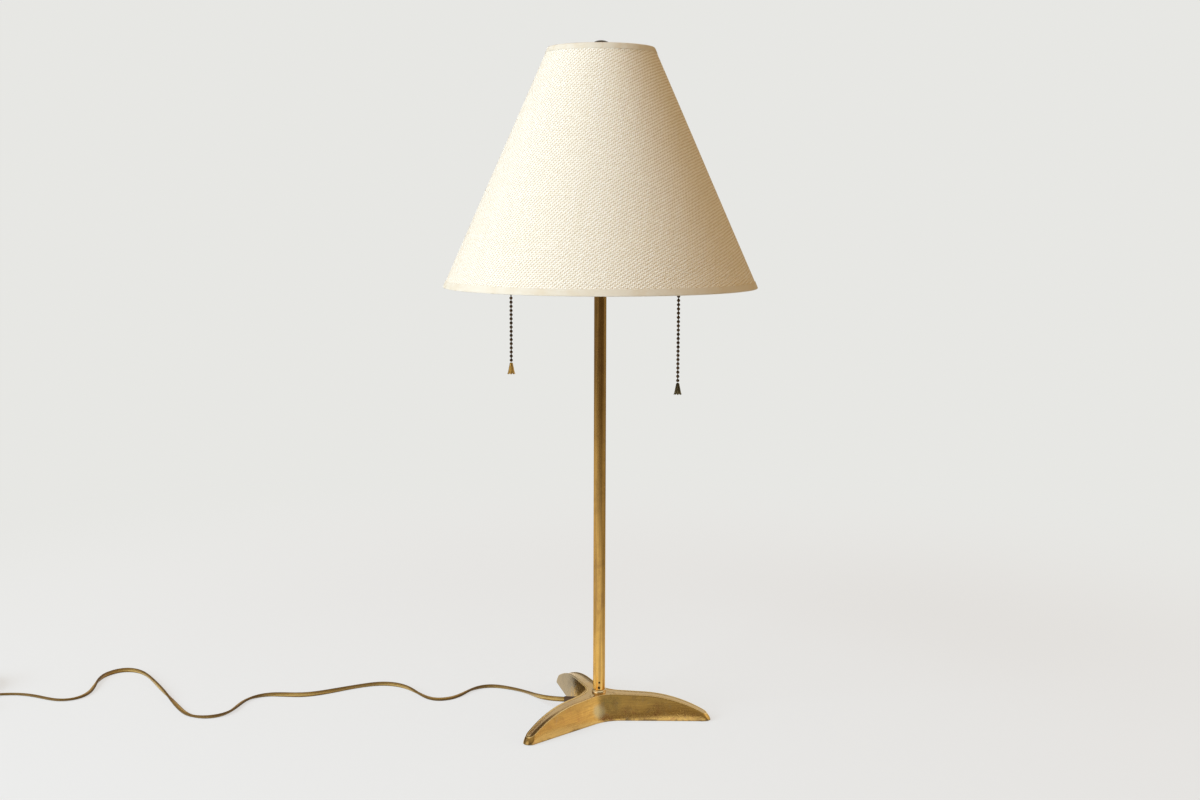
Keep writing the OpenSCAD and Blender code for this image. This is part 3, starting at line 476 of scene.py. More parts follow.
sole = np.repeat(foot_grid[:1].mean(1, keepdims=True) * [[[0, 0, 1]]], foot_grid.shape[1], 1)
foot_grid = np.concatenate([sole, foot_grid])
foot = mesh_piece(
    "foot_casting", foot_grid.reshape(-1, 3), grid_faces(
        *foot_grid.shape[:2], wrap_columns=True
    ), sharp=50,
    attributes={"zone": np.repeat([0.0, *bead_share], foot_grid.shape[1])},
)
print("the foot has", len(foot.data.polygons), "faces")


# %% The hollows under the foot
def cutter(name, profile, place):
    """A turned solid for cutting, its axis laid along place's own Z."""
    tool = lathe(name, profile, 48)
    tool.data.transform(place)
    return tool


def round_bar(radius, low, high):
    """The closed profile of a plain cylinder, from one pole round to the other."""
    return [(0, low), (radius, low), (radius, high), (0, high)]


def box_piece(name, low, high):
    """A plain box between two corners, as a grid of four sides closed at both ends."""
    (x0, y0, z0), (x1, y1, z1) = low, high
    ring = np.array([[x0, y0], [x1, y0], [x1, y1], [x0, y1]])
    rows = [np.column_stack([ring, np.full(4, z)]) for z in (z0, z1)]
    grid = closed_ends(np.array(rows))
    return mesh_piece(name, grid.reshape(-1, 3), grid_faces(4, 4, wrap_columns=True), smooth=False)


POCKET_R, POCKET_TOP = 15 * MM, 18.5 * MM
GLAND_SEAT = 17.35 * MM
PAD_AT = LEG_TIP - 9 * MM
level = Matrix.Identity(4)
toward_hollow = Matrix.Rotation(HOLLOW_TURN, 4, "Z") @ Matrix.Translation((0, 0, GLAND_Z))
toward_hollow = toward_hollow @ Matrix.Rotation(math.pi / 2, 4, "Y")
cutters = [
    cutter("cut_pocket", round_bar(POCKET_R, -1 * MM, POCKET_TOP), level),
    cutter("cut_bore", round_bar(4.9 * MM, 10 * MM, 30 * MM), level),
    cutter("cut_gland", round_bar(3.5 * MM, 5 * MM, 40 * MM), toward_hollow),
    cutter("cut_collar", round_bar(4.9 * MM, GLAND_SEAT, 40 * MM), toward_hollow),
]
for leg in range(3):
    turn = Matrix.Rotation(math.radians(LEG_TURN + 120 * leg), 4, "Z")
    pad_place = turn @ Matrix.Translation((PAD_AT, 0, 0))
    cutters.append(cutter(f"cut_pad_{leg}", round_bar(4.45 * MM, -1 * MM, 2 * MM), pad_place))
    channel = box_piece(
        f"cut_channel_{leg}", (12 * MM, -4 * MM, -1 * MM), (94 * MM, 4 * MM, 9 * MM)
    )
    channel.data.transform(turn)
    cutters.append(channel)
for tool in cutters:
    cut = foot.modifiers.new(tool.name, "BOOLEAN")
    cut.operation = "DIFFERENCE"
    cut.object = tool
    cut.solver = "MANIFOLD"
shaped = bpy.data.meshes.new_from_object(foot.evaluated_get(bpy.context.evaluated_depsgraph_get()))
foot.modifiers.clear()
foot.data = shaped
foot.data.set_sharp_from_angle(angle=math.radians(50))
for tool in cutters:
    bpy.data.objects.remove(tool)
stand_in_for(foot, "lamp", "foot_brass", "tripod_foot")
print("after the cuts the foot has", len(foot.data.polygons), "faces")

# %% [markdown]
# ## Stem, seating ring, finial and bells
#
# These pieces are turned, so each is a profile of radius and height carried round the axis. The
# frame has them too, but with only as many facets as a machine drawing needs. A lathe function
# with more segments gives clean highlights on the long thin stem. Real sheet-metal edges are
# rolled, never sharp, so the profiles have small arcs where the frame has corners.

# %% Stem and seating ring
STEM_LOW, STEM_TOP = 24 * MM, 436 * MM
STEM_R, STEM_BORE = 6 * MM, 5.1 * MM
stem_profile = [
    (STEM_BORE, STEM_LOW), (STEM_R - 0.15 * MM, STEM_LOW), (STEM_R, STEM_LOW + 0.15 * MM)
]
stem_profile += [(STEM_R, z) for z in np.linspace(STEM_LOW, STEM_TOP, 40)[1:-1]]
stem_profile += [
    (STEM_R, STEM_TOP - 0.15 * MM), (STEM_R - 0.15 * MM, STEM_TOP), (STEM_BORE, STEM_TOP)
]
stand_in_for(lathe("stem", stem_profile), "lamp", "stem_brass", "stem_tube")
SEAT_BORE, SEAT_R = 6.05 * MM, 7.2 * MM
seat_profile = np.vstack([
    [(SEAT_BORE, STEM_LOW), (SEAT_R - 0.1 * MM, STEM_LOW)],
    arc_points((SEAT_R - 0.3 * MM, STEM_LOW + 0.5 * MM), 0.3 * MM, -40, 40, 5),
    arc_points((SEAT_R - 0.55 * MM, STEM_LOW + 2.7 * MM), 0.5 * MM, 0, 90, 8),
    [(SEAT_BORE, STEM_LOW + 3.3 * MM)],
])
stand_in_for(lathe("seating_ring", seat_profile), "lamp", "seat_brass", "stem_seat")

# %% The finial
FINIAL_LOW, FINIAL_HIGH, FINIAL_R = 653.2 * MM, 667.6 * MM, 10 * MM
BRIM_Z = FINIAL_LOW + 0.55 * (FINIAL_HIGH - FINIAL_LOW)
FINIAL_BORE = 3.26 * MM
dome_a = np.radians(np.linspace(0, 90, 22))
dome = np.stack([FINIAL_R * np.cos(dome_a), BRIM_Z + (FINIAL_HIGH - BRIM_Z) * np.sin(dome_a)], -1)
finial_profile = np.vstack([
    [(FINIAL_BORE, FINIAL_LOW)],
    arc_points((5.2 * MM, FINIAL_LOW + 0.8 * MM), 0.75 * MM, -90, 90, 9),
    arc_points((5.5 * MM, FINIAL_LOW + 2.9 * MM), 0.8 * MM, 250, 120, 9),
    arc_points((FINIAL_R - 0.55 * MM, BRIM_Z - 0.5 * MM), 0.5 * MM, -120, 20, 9),
    dome[1:],
    [(0, FINIAL_LOW + 8.6 * MM), (FINIAL_BORE, FINIAL_LOW + 8.6 * MM)],
])
stand_in_for(lathe("finial_knob", finial_profile), "finial", "bronze_dark", "finial")

# %% The chains' bells
BELL_H = 11.6 * MM
CHAINS = {"left": (-87.2 * MM, 0.0, 346.7 * MM), "right": (74.9 * MM, -27.65 * MM, 330.5 * MM)}


def fluted_bell(name, x, y, low):
    """A hollow bell, turned about the upright line at (x, y), with its rim at height low.

    From the shoulder to the rim its radius grows from 1.75 mm by 1.6 mm (1 - t)^1.15, with a last
    flare of 0.3 mm. Eight flutes of |cos 4a| deepen towards the rim and wave its edge."""
    t = np.linspace(0, 1, 34)
    radius = 1.75 * MM + 1.6 * MM * (1 - t) ** 1.15 + 0.3 * MM * np.exp(-((t / 0.1) ** 2))
    skin = np.stack([radius, 0.5 * MM + (BELL_H - 2.3 * MM) * t], -1)
    crest = arc_points((0, BELL_H - 1.75 * MM), 1.75 * MM, 6, 90, 9)
    lining = skin[22::-1] - [[0.45 * MM, 0]]
    profile = np.vstack([skin, crest, [(0, 7.2 * MM)], lining])

    def ripple(r, z, a):
        share = z / BELL_H
        mouth = np.exp(-((share / 0.2) ** 2))
        wave = (2 * np.abs(np.cos(4 * a)) - 1.27) * (1 - ease((share - 0.6) / 0.22)) * (r > 1e-6)
        return r * (1 + (0.09 + 0.05 * mouth) * wave), low + z - 0.55 * MM * mouth * wave

    return lathe(name, profile, centre=(x, y), ripple=ripple)


for side, place in CHAINS.items():
    bell = fluted_bell(f"bell_{side}", *place)
    stand_in_for(
        bell, f"chain_{side}", {"left": "bell_gold", "right": "bell_olive"}[side],
        f"chain_bell_{side}"
    )

# %% [markdown]
# ## The shade
#
# The shade is linen glued round a stiff white cone, with a cotton tape folded over each rim and
# a wire ring inside. The linen is cut flat as part of a ring and rolled up, so its threads run
# straight down at the front and turn aslant towards the sides. That is why the cloth's pattern
# map is the flat cut itself: a point at slant distance q from the cone's tip and angle b from
# the middle of the cut has the map place (q sin b, q cos b), and b is the angle round the shade
# times the sine of the cone's half angle. One end laps over the other at the back.

# %% The shade's cone
SHADE_LOW, SHADE_TOP = 432.9 * MM, 660.1 * MM
LOW_R, TOP_R = 152.4 * MM, 51.1 * MM
SLOPE = (LOW_R - TOP_R) / (SHADE_TOP - SHADE_LOW)
LEAN = math.hypot(1, SLOPE)
HALF_SINE = SLOPE / LEAN
FRONT = -math.pi / 2
CLOTH_T = 0.55 * MM
LAP = math.radians(4.2)


def cone_point(a, z, out):
    """The point at angle a from the front and height z, moved out at right angles to the cone."""
    r = LOW_R - SLOPE * (z - SHADE_LOW) + out * LEAN
    return np.stack([r * np.cos(FRONT + a), r * np.sin(FRONT + a), z + 0 * r], -1)


def lap_rise(a):
    """How far the cloth rises to pass over its own start, behind the shade."""
    return 0.6 * MM * ease((a - math.pi + math.radians(1)) / math.radians(1.2))


def uneven(a, z):
    """Linen is never quite even: a few hundredths of a millimetre of slow waves."""
    return 0.05 * MM * (
        np.sin(5 * a + 31 * z) + np.sin(11 * a - 17 * z + 1.3) + np.sin(3 * a + 2.1)
    )


# %% The shade's linen
cloth_a = np.linspace(-math.pi, math.pi + LAP, 362)
cloth_z = np.linspace(SHADE_LOW, SHADE_TOP, 90)
a_grid, z_grid = np.meshgrid(cloth_a, np.concatenate([cloth_z, cloth_z[::-1]]), indexing="ij")
inside = np.repeat([0.0, CLOTH_T], len(cloth_z))
cloth_rings = cone_point(a_grid, z_grid, lap_rise(a_grid) + uneven(a_grid, z_grid) - inside)
slant = (LOW_R - SLOPE * (z_grid - SHADE_LOW)) / HALF_SINE
cut = np.stack([slant * np.sin(a_grid * HALF_SINE), slant * np.cos(a_grid * HALF_SINE)], -1)
cloth_rings, cut = closed_ends(cloth_rings), closed_ends(cut)
linen = mesh_piece(
    "shade_linen_cover", cloth_rings.reshape(-1, 3), grid_faces(
        *cloth_rings.shape[:2], wrap_columns=True
    ),
    uv=cut.reshape(-1, 2),
)
stand_in_for(linen, "shade", "shade_linen", "shade_cover")

# %% The rims' tapes and the liner
def folded_tape(name, path, thickness=0.36 * MM, columns=300):
    """A strip carried round the cone: path holds (outward, height) pairs along the middle of it.

    The strip's two faces lie half its thickness to each side of the smoothed path."""
    line = spline(np.asarray(path, float) * MM, 5)
    direction = np.gradient(line, axis=0)
    direction /= np.linalg.norm(direction, axis=1, keepdims=True)
    side = np.stack([-direction[:, 1], direction[:, 0]], -1) * thickness / 2
    loop = np.concatenate([line + side, (line - side)[::-1]])
    a = np.arange(columns) * 2 * math.pi / columns - math.pi
    a_all, out_all = np.meshgrid(a, loop[:, 0], indexing="ij")
    z_all = np.repeat(loop[None, :, 1], columns, 0)
    lapped = 0.6 * MM * ease(1 - (np.abs(a_all + math.pi - LAP / 2) - LAP / 2) / math.radians(1.2))
    lapped *= ease((out_all + 0.6 * MM) / (0.8 * MM))
    points = cone_point(a_all, z_all, out_all + lapped + uneven(a_all, z_all) * 0.6)
    length = np.concatenate([[0], np.cumsum(np.linalg.norm(np.diff(loop, axis=0), axis=1))])
    uv = np.stack([a_all * LOW_R, np.repeat(length[None], columns, 0)], -1)
    faces = grid_faces(columns, len(loop), True, True)
    return mesh_piece(name, points.reshape(-1, 3), faces, uv=uv.reshape(-1, 2), sharp=60)


LOW_MM, TOP_MM = SHADE_LOW / MM, SHADE_TOP / MM
low_path = [
    (0.24, 6), (0.24, 4), (0.24, 1.5), (0.2, 0.2), (-0.2, -0.25), (-1.2, -0.3), (-2.2, 0.1),
    (-3.2, 0.4), (-4.1, 1.1), (-4.35, 2.1), (-4, 3.1), (-3.1, 3.6), (-2.1, 4.2), (-1.84, 5.6),
    (-1.84, 8),
]
top_path = [
    (0.24, -5), (0.24, -3), (0.24, -1.5), (0.2, -0.2), (-0.2, 0.25), (-1.2, 0.3), (-2.2, -0.4),
    (-3.2, -1), (-4.1, -1.6), (-4.35, -2.6), (-4, -3.7), (-3.1, -4.2), (-2.1, -4.8), (-1.84, -6.2),
    (-1.84, -8),
]
low_tape = folded_tape("bottom_rim_tape", [(out, LOW_MM + up) for out, up in low_path])
top_tape = folded_tape("top_rim_tape", [(out, TOP_MM + up) for out, up in top_path])
stand_in_for(low_tape, "shade", "rim_tape", "bottom_tape")
stand_in_for(top_tape, "shade", "rim_tape", "top_tape")
liner_a = np.linspace(0, 2 * math.pi, 240, endpoint=False)
liner_section = [
    (-1.02, LOW_MM + 0.05), (-1.02, TOP_MM - 0.05), (-1.62, TOP_MM - 0.05), (-1.62, LOW_MM + 0.05)
]
liner_rings = np.stack(
    [cone_point(liner_a, z * MM + 0 * liner_a, out * MM) for out, z in liner_section]
)
liner = mesh_piece("liner", liner_rings.reshape(-1, 3), grid_faces(4, 240, True, True))
stand_in_for(liner, "shade", "shade_liner", "shade_liner")

# %% [markdown]
# ## Node helpers and shared effects
#
# A material here is a small tree of nodes. One helper adds a node, sets or links its inputs and
# gives back an output, so that a tree reads like a formula. Effects that several finishes share
# are node groups: a cloudy patina mask, fine specks, drawn streaks, a soft round spot, and woven
# cloth. A group gives out masks, colours or heights, and each material owns its shader.


# %% Node helpers
def add(tree, kind, inputs=None, out=0, **settings):
    """Adds a node; an input may be a value or another node's output. Returns one of its outputs."""
    node = tree.nodes.new(kind)
    for key, value in settings.items():
        setattr(node, key, value)
    for key, value in (inputs or {}).items():
        if isinstance(value, bpy.types.NodeSocket):
            tree.links.new(value, node.inputs[key])
        else:
            node.inputs[key].default_value = value
    return node.outputs[out]


def calc(tree, operation, a, b=0.0, c=0.0, clamp=False):
    """One number from up to three, by a Math node."""
    return add(tree, "ShaderNodeMath", {0: a, 1: b, 2: c}, operation=operation, use_clamp=clamp)


def times(tree, a, b):
    """a times b."""
    return calc(tree, "MULTIPLY", a, b)


def weighed(tree, value, weight, base):
    """The value times its weight, plus a base."""
    return calc(tree, "MULTIPLY_ADD", value, weight, base)


def blend(tree, factor, a, b):
    """Colour a where factor is 0 and b where it is 1; each is a link or three numbers."""
    a, b = [(*colour, 1) if isinstance(colour, tuple) else colour for colour in (a, b)]
    return add(tree, "ShaderNodeMix", {0: factor, 6: a, 7: b}, out=2, data_type="RGBA")


def layers(tree, colour, *coats):
    """Lays coats over a colour in turn; each is a mask and the colour that shows where it is 1."""
    for mask, coat in coats:
        colour = blend(tree, mask, colour, coat)
    return colour


def between(tree, value, low, high, start=0.0, end=1.0):
    """start where value is below low, end where it is above high, and smooth between."""
    inputs = {"Value": value, "From Min": low, "From Max": high, "To Min": start, "To Max": end}
    return add(tree, "ShaderNodeMapRange", inputs, interpolation_type="SMOOTHSTEP")


def clouds(tree, vector, scale, detail=3.0, roughness=0.55, distortion=0.0):
    """Soft noise around 0.5."""
    inputs = {
        "Vector": vector, "Scale": scale, "Detail": detail, "Roughness": roughness,
        "Distortion": distortion
    }
    return add(tree, "ShaderNodeTexNoise", inputs)


def stretch(tree, vector, scale):
    """The vector with each part multiplied by a number."""
    return add(tree, "ShaderNodeVectorMath", {0: vector, 1: scale}, operation="MULTIPLY")


def new_group(name, inputs, outputs):
    """An empty node group with named sockets; returns its tree, its inputs and its output node."""
    kinds = {"value": "NodeSocketFloat", "vector": "NodeSocketVector", "colour": "NodeSocketColor"}
    tree = bpy.data.node_groups.new(name, "ShaderNodeTree")
    for label, kind, *default in inputs:
        socket = tree.interface.new_socket(label, in_out="INPUT", socket_type=kinds[kind])
        if default:
            socket.default_value = default[0]
    for label, kind in outputs:
        tree.interface.new_socket(label, in_out="OUTPUT", socket_type=kinds[kind])
    return tree, tree.nodes.new("NodeGroupInput").outputs, tree.nodes.new("NodeGroupOutput").inputs


def use(tree, group, vector, **numbers):
    """The mask that a group gives at a vector; its other inputs are set by their names."""
    return add(tree, "ShaderNodeGroup", {"Vector": vector, **numbers}, node_tree=group)


# %% Patina, specks, streaks and spots
patina, given, result = new_group(
    "patina", [
        ("Vector", "vector"), ("Scale", "value", 30.0), ("Cover", "value", 0.5),
        ("Soft", "value", 0.1)
    ],
    [("Mask", "value")],
)
wide = clouds(patina, given["Vector"], given["Scale"], 5.0, 0.62, 0.4)
edge = calc(patina, "SUBTRACT", 1.0, given["Cover"])
low_edge = weighed(patina, edge, 0.5, 0.22)
amount = calc(patina, "DIVIDE", calc(patina, "SUBTRACT", wide, low_edge), given["Soft"], clamp=True)
patina.links.new(amount, result["Mask"])

specks, given, result = new_group(
    "specks", [
        ("Vector", "vector"), ("Scale", "value", 900.0), ("Share", "value", 0.3)
    ], [("Mask", "value")],
)
cell_node = specks.nodes.new("ShaderNodeTexVoronoi")
specks.links.new(given["Vector"], cell_node.inputs["Vector"])
specks.links.new(given["Scale"], cell_node.inputs["Scale"])
near = between(specks, cell_node.outputs["Distance"], 0.18, 0.42, 1.0, 0.0)
chosen = calc(
    specks, "LESS_THAN", add(specks, "ShaderNodeSeparateColor", {0: cell_node.outputs["Color"]}),
    given["Share"]
)
specks.links.new(times(specks, near, chosen), result["Mask"])

streaks, given, result = new_group(
    "streaks", [
        ("Vector", "vector"), ("Fine", "value", 900.0), ("Long", "value", 12.0)
    ], [("Mask", "value")],
)
scales = add(
    streaks, "ShaderNodeCombineXYZ", {0: given["Fine"], 1: given["Fine"], 2: given["Long"]}
)
drawn = clouds(streaks, stretch(streaks, given["Vector"], scales), 1.0, 4.0, 0.65)
streaks.links.new(drawn, result["Mask"])

spot, given, result = new_group(
    "spot", [
        ("Vector", "vector"), ("Centre", "vector"), ("Radius", "value", 0.01),
        ("Ragged", "value", 0.3)
    ],
    [("Mask", "value")],
)
away = add(
    spot, "ShaderNodeVectorMath", {0: given["Vector"], 1: given["Centre"]}, out=1,
    operation="DISTANCE"
)
ragged = times(
    spot, calc(spot, "SUBTRACT", clouds(spot, given["Vector"], 220.0, 4.0), 0.5), given["Ragged"]
)
distance = calc(spot, "ADD", calc(spot, "DIVIDE", away, given["Radius"]), ragged)
spot.links.new(between(spot, distance, 0.45, 1.0, 1.0, 0.0), result["Mask"])

# %% [markdown]
# ## Woven linen
#
# Plain weave is a checkerboard: with u and v counted in threads, the sign of sin(pi u) sin(pi v)
# says whether the upright or the level thread lies on top. A thread on top is round across,
# which is |sin(pi u)|, and arches along, which is a root of |sin(pi v)|. The upright threads are
# tighter and stand out more. The cloth was cut a little off its grain, so the map is turned
# first, and the twist of the yarn joins the bumps into faint ridges that rise to the right, which
# is -cos(pi (u + v)). Between the ridges the colour turns tan, partly the ground showing through
# and partly painted shade. Real linen yarn is uneven, so u and v are shifted by noise and single
# threads are lighter, darker or thicker.

# %% Woven linen
weave, given, result = new_group(
    "weave", [
        ("Map", "vector"), ("Pitch", "value", 0.0019), ("Wander", "value", 0.6),
        ("Turn", "value", -0.13)
    ],
    [("Height", "value"), ("Upright", "value"), ("Streak", "value"), ("Slub", "value")],
)
grain = add(
    weave, "ShaderNodeVectorRotate", {"Vector": given["Map"], "Angle": given["Turn"]},
    rotation_type="Z_AXIS"
)
counted = add(weave, "ShaderNodeVectorMath", {0: grain, 1: given["Pitch"]}, operation="DIVIDE")
parts = weave.nodes.new("ShaderNodeSeparateXYZ")
weave.links.new(counted, parts.inputs[0])
long_up = clouds(weave, stretch(weave, counted, (0.16, 0.07, 1.0)), 1.0, 1.0)
long_level = clouds(weave, stretch(weave, counted, (0.07, 0.16, 1.0)), 1.0, 1.0)
near_up = clouds(weave, stretch(weave, counted, (1.1, 0.3, 1.0)), 1.0, 1.0)
near_level = clouds(weave, stretch(weave, counted, (0.3, 1.1, 1.0)), 1.0, 1.0)
shift_u = weighed(weave, near_up, 0.5, long_up)
shift_v = weighed(weave, near_level, 0.5, long_level)
u = weighed(weave, shift_u, given["Wander"], parts.outputs["X"])
v = weighed(weave, shift_v, given["Wander"], parts.outputs["Y"])
sin_u = calc(weave, "SINE", times(weave, u, math.pi))
sin_v = calc(weave, "SINE", times(weave, v, math.pi))
abs_u, abs_v = calc(weave, "ABSOLUTE", sin_u), calc(weave, "ABSOLUTE", sin_v)
upright = times(weave, abs_u, calc(weave, "POWER", abs_v, 0.45))
level_one = times(weave, abs_v, calc(weave, "POWER", abs_u, 0.45))
on_top = calc(weave, "GREATER_THAN", times(weave, sin_u, sin_v), 0.0)
height = add(weave, "ShaderNodeMix", {0: on_top, 2: times(weave, level_one, 0.7), 3: upright})
ridge = calc(weave, "COSINE", times(weave, calc(weave, "ADD", u, v), math.pi))
height = weighed(weave, ridge, -0.18, weighed(weave, height, 0.7, 0.15))
weave.links.new(height, result["Height"])
weave.links.new(on_top, result["Upright"])
thread_u = clouds(weave, stretch(weave, counted, (1.0, 0.016, 1.0)), 1.0, 1.0)
thread_v = clouds(weave, stretch(weave, counted, (0.022, 1.0, 1.0)), 1.0, 1.0)
streak = add(weave, "ShaderNodeMix", {0: on_top, 2: thread_v, 3: thread_u})
weave.links.new(streak, result["Streak"])
slub = calc(
    weave, "MAXIMUM", between(weave, thread_u, 0.66, 0.78), between(weave, thread_v, 0.68, 0.8)
)
weave.links.new(slub, result["Slub"])

# %% [markdown]
# ## Metal finishes
#
# Every metal here is the same shader with other numbers: fully metallic, with a base colour, a
# roughness that is never even, and a bump that is a few hundredths of a millimetre deep. Old
# brass shows bright gold where hands and cloths rub it and brown where they don't, so its colour
# is a blend of the two by a cloudy mask. The foot was cast in sand and has the finest pits.


# %% A material and its shader
def new_material(name):
    """A material with its tree, its shader node, and the Object coordinates that patterns read."""
    material = bpy.data.materials.new(name)
    material.use_nodes = True
    tree = material.node_tree
    shader = tree.nodes["Principled BSDF"]
    place = add(tree, "ShaderNodeTexCoord", out=3)
    return material, tree, shader, place


def feed(tree, shader, **sockets):
    """Links or sets the shader's sockets; an underscore in a name stands for a space."""
    for name, value in sockets.items():
        socket = shader.inputs[name.replace("_", " ")]
        if isinstance(value, bpy.types.NodeSocket):
            tree.links.new(value, socket)
        else:
            socket.default_value = value


def bump(tree, height, deep):
    """A normal from a height mask that stands for so many metres."""
    return add(tree, "ShaderNodeBump", {"Height": height, "Distance": deep, "Strength": 1.0})


def metal(name, bright, dull, cover, rough, scale):
    """A metal fitting: bright and dull colours blended by patina, with a fine grain."""
    material, tree, shader, place = new_material(name)
    mask = use(tree, patina, place, Scale=scale, Cover=cover, Soft=0.16)
    grain = clouds(tree, place, 2600.0, 3.0)
    colour = blend(tree, mask, bright, dull)
    wear = weighed(tree, grain, 0.4, times(tree, mask, 0.8))
    feed(
        tree, shader, Metallic=1.0, Base_Color=colour,
        Roughness=between(tree, wear, 0.1, 1.0, *rough), Normal=bump(tree, grain, 0.00003),
    )
    return material


# %% Cast brass of the foot
foot_metal, tree, shader, place = new_material("cast brass, polished and aged")
cloud_mask = use(tree, patina, place, Scale=52.0, Cover=0.46, Soft=0.2)
grey_mask = use(tree, patina, place, Scale=95.0, Cover=0.28, Soft=0.22)
rust_mask = use(tree, patina, place, Scale=110.0, Cover=0.34, Soft=0.14)
green_mask = use(tree, spot, place, Centre=(0.013, -0.020, 0.019), Radius=0.014, Ragged=0.8)
run_mask = use(tree, spot, place, Centre=(0.001, -0.026, 0.012), Radius=0.0095, Ragged=0.35)
leg_brown = use(tree, spot, place, Centre=(-0.045, -0.057, 0.008), Radius=0.062, Ragged=0.8)
leg_grey = use(tree, spot, place, Centre=(-0.046, 0.074, 0.012), Radius=0.066, Ragged=1.0)
speck_mask = use(tree, specks, place, Scale=1000.0, Share=0.35)
pores = use(tree, specks, place, Scale=700.0, Share=0.12)
grain = clouds(tree, place, 1500.0, 4.0)
wiped = clouds(tree, stretch(tree, place, (45.0, 45.0, 1100.0)), 1.0, 4.0, 0.65)
level_part = stretch(tree, place, (1.0, 1.0, 0.0))
out_from_axis = add(tree, "ShaderNodeVectorMath", {0: level_part}, out=1, operation="LENGTH")
height = add(tree, "ShaderNodeSeparateXYZ", {0: place}, out=2)
zone = add(tree, "ShaderNodeAttribute", out=2, attribute_name="zone")

green_mask = times(tree, green_mask, weighed(tree, speck_mask, 0.7, 0.25))
rust_mask = times(tree, rust_mask, between(tree, height, 0.006, 0.016, 0.8, 0.35))
# the upper part of the wall, coloured darker as a painted reflection of the dark room
dark_upper_wall = between(tree, height, 0.012, 0.0225)
flat_top = between(tree, zone, 1.0, 1.6)
# the raised beads, which are coloured pale bright gold as a painted highlight and are also polished
# smoother
bead = between(tree, zone, 1.1, 1.7, 1.0, 0.0)
bead = times(tree, between(tree, zone, 0.1, 0.6), bead)
groove = between(tree, zone, 1.6, 1.9, 0.7, 0.0)
groove = times(tree, between(tree, zone, 1.1, 1.4), groove)
# the walls are coloured darker within about 3 mm of the table, in cloudy patches
bottom_edge_dark = weighed(tree, cloud_mask, -0.002, height)
bottom_edge_dark = between(tree, bottom_edge_dark, -0.0004, 0.003, 0.85, 0.0)
tip = weighed(tree, cloud_mask, 0.004, out_from_axis)
tip = between(tree, tip, 0.108, 0.117, 0.0, 0.75)
grey_side = times(tree, leg_grey, between(tree, zone, 0.5, 1.5, 0.85, 0.15))
pale_top = times(tree, leg_grey, times(tree, flat_top, 0.7))
foot_colour = layers(
    tree, (0.90, 0.58, 0.18),
    (cloud_mask, (0.55, 0.34, 0.12)),
    (times(tree, leg_brown, 0.5), (0.50, 0.28, 0.09)),
    (between(tree, wiped, 0.35, 0.65, 0.35, 0.0), (0.30, 0.19, 0.07)),
    (rust_mask, (0.48, 0.23, 0.10)),
    # painted reflection: the upper wall is coloured darker, as the dark room it reflects
    (times(tree, dark_upper_wall, 0.32), (0.40, 0.29, 0.11)),
    (times(tree, flat_top, 0.65), (0.88, 0.66, 0.40)),
    # painted highlight: the raised beads are coloured pale bright gold
    (times(tree, bead, 0.85), (1.0, 0.76, 0.38)),
    (groove, (0.24, 0.14, 0.06)),
    (bottom_edge_dark, (0.10, 0.066, 0.03)),
    (tip, (0.13, 0.105, 0.05)),
    (times(tree, grey_mask, 0.5), (0.44, 0.42, 0.38)),
    (grey_side, (0.33, 0.32, 0.29)),
    (pale_top, (1.0, 0.86, 0.62)),
    (green_mask, (0.20, 0.21, 0.10)),
    (times(tree, run_mask, 0.7), (0.58, 0.54, 0.36)),
)
roughness = between(tree, weighed(tree, cloud_mask, 0.35, grain), 0.3, 1.1, 0.13, 0.34)
roughness = weighed(tree, green_mask, 0.25, roughness)
roughness = weighed(tree, bead, -0.06, roughness)
pitted = weighed(tree, wiped, 0.8, weighed(tree, pores, -1.2, grain))
feed(
    tree, shader, Metallic=1.0, Base_Color=foot_colour, Roughness=roughness,
    Specular_Tint=(0.92, 0.80, 0.62, 1),
    Normal=bump(tree, pitted, 0.00004),
)

# %% Drawn brass of the stem
stem_metal, tree, shader, place = new_material("drawn brass tube, lacquer worn")
fine = use(tree, streaks, place, Fine=1500.0, Long=9.0)
broad = use(tree, streaks, place, Fine=300.0, Long=7.0)
worn = use(tree, patina, place, Scale=38.0, Cover=0.45, Soft=0.25)
freckles = use(tree, specks, place, Scale=1300.0, Share=0.25)
height = add(tree, "ShaderNodeSeparateXYZ", {0: place}, out=2)
near_foot = between(tree, height, 0.03, 0.14, 1.0, 0.0)
pit_low = use(tree, spot, place, Centre=(0.0, -0.006, 0.0298), Radius=0.0017, Ragged=0.4)
pit_high = use(tree, spot, place, Centre=(0.0003, -0.006, 0.0352), Radius=0.0014, Ragged=0.4)
pit_mask = calc(tree, "MAXIMUM", pit_low, pit_high)
blotch_place = stretch(tree, place, (1.0, 1.0, 0.35))
blotch = use(tree, patina, blotch_place, Scale=120.0, Cover=0.4, Soft=0.15)
freckles = times(tree, freckles, times(tree, near_foot, 0.8))
stem_colour = layers(
    tree, (0.70, 0.42, 0.12),
    (worn, (0.38, 0.21, 0.065)),
    # painted shade: the stem is coloured darker towards its top, under the shade
    (between(tree, height, 0.16, 0.42, 0.0, 0.75), (0.34, 0.20, 0.065)),
    (times(tree, near_foot, 0.7), (0.95, 0.57, 0.14)),
    (freckles, (0.88, 0.66, 0.32)),
    (between(tree, broad, 0.42, 0.62, 0.0, 0.5), (0.25, 0.15, 0.055)),
    (times(tree, blotch, 0.5), (0.40, 0.22, 0.085)),
    (pit_mask, (0.05, 0.035, 0.02)),
)
roughness = weighed(tree, pit_mask, 0.4, between(tree, fine, 0.3, 0.75, 0.14, 0.28))
relief = weighed(tree, pit_mask, -6.0, fine)
feed(
    tree, shader, Metallic=1.0, Base_Color=stem_colour, Roughness=roughness,
    Specular_Tint=(0.85, 0.68, 0.45, 1),
    Normal=bump(tree, relief, 0.00002),
)

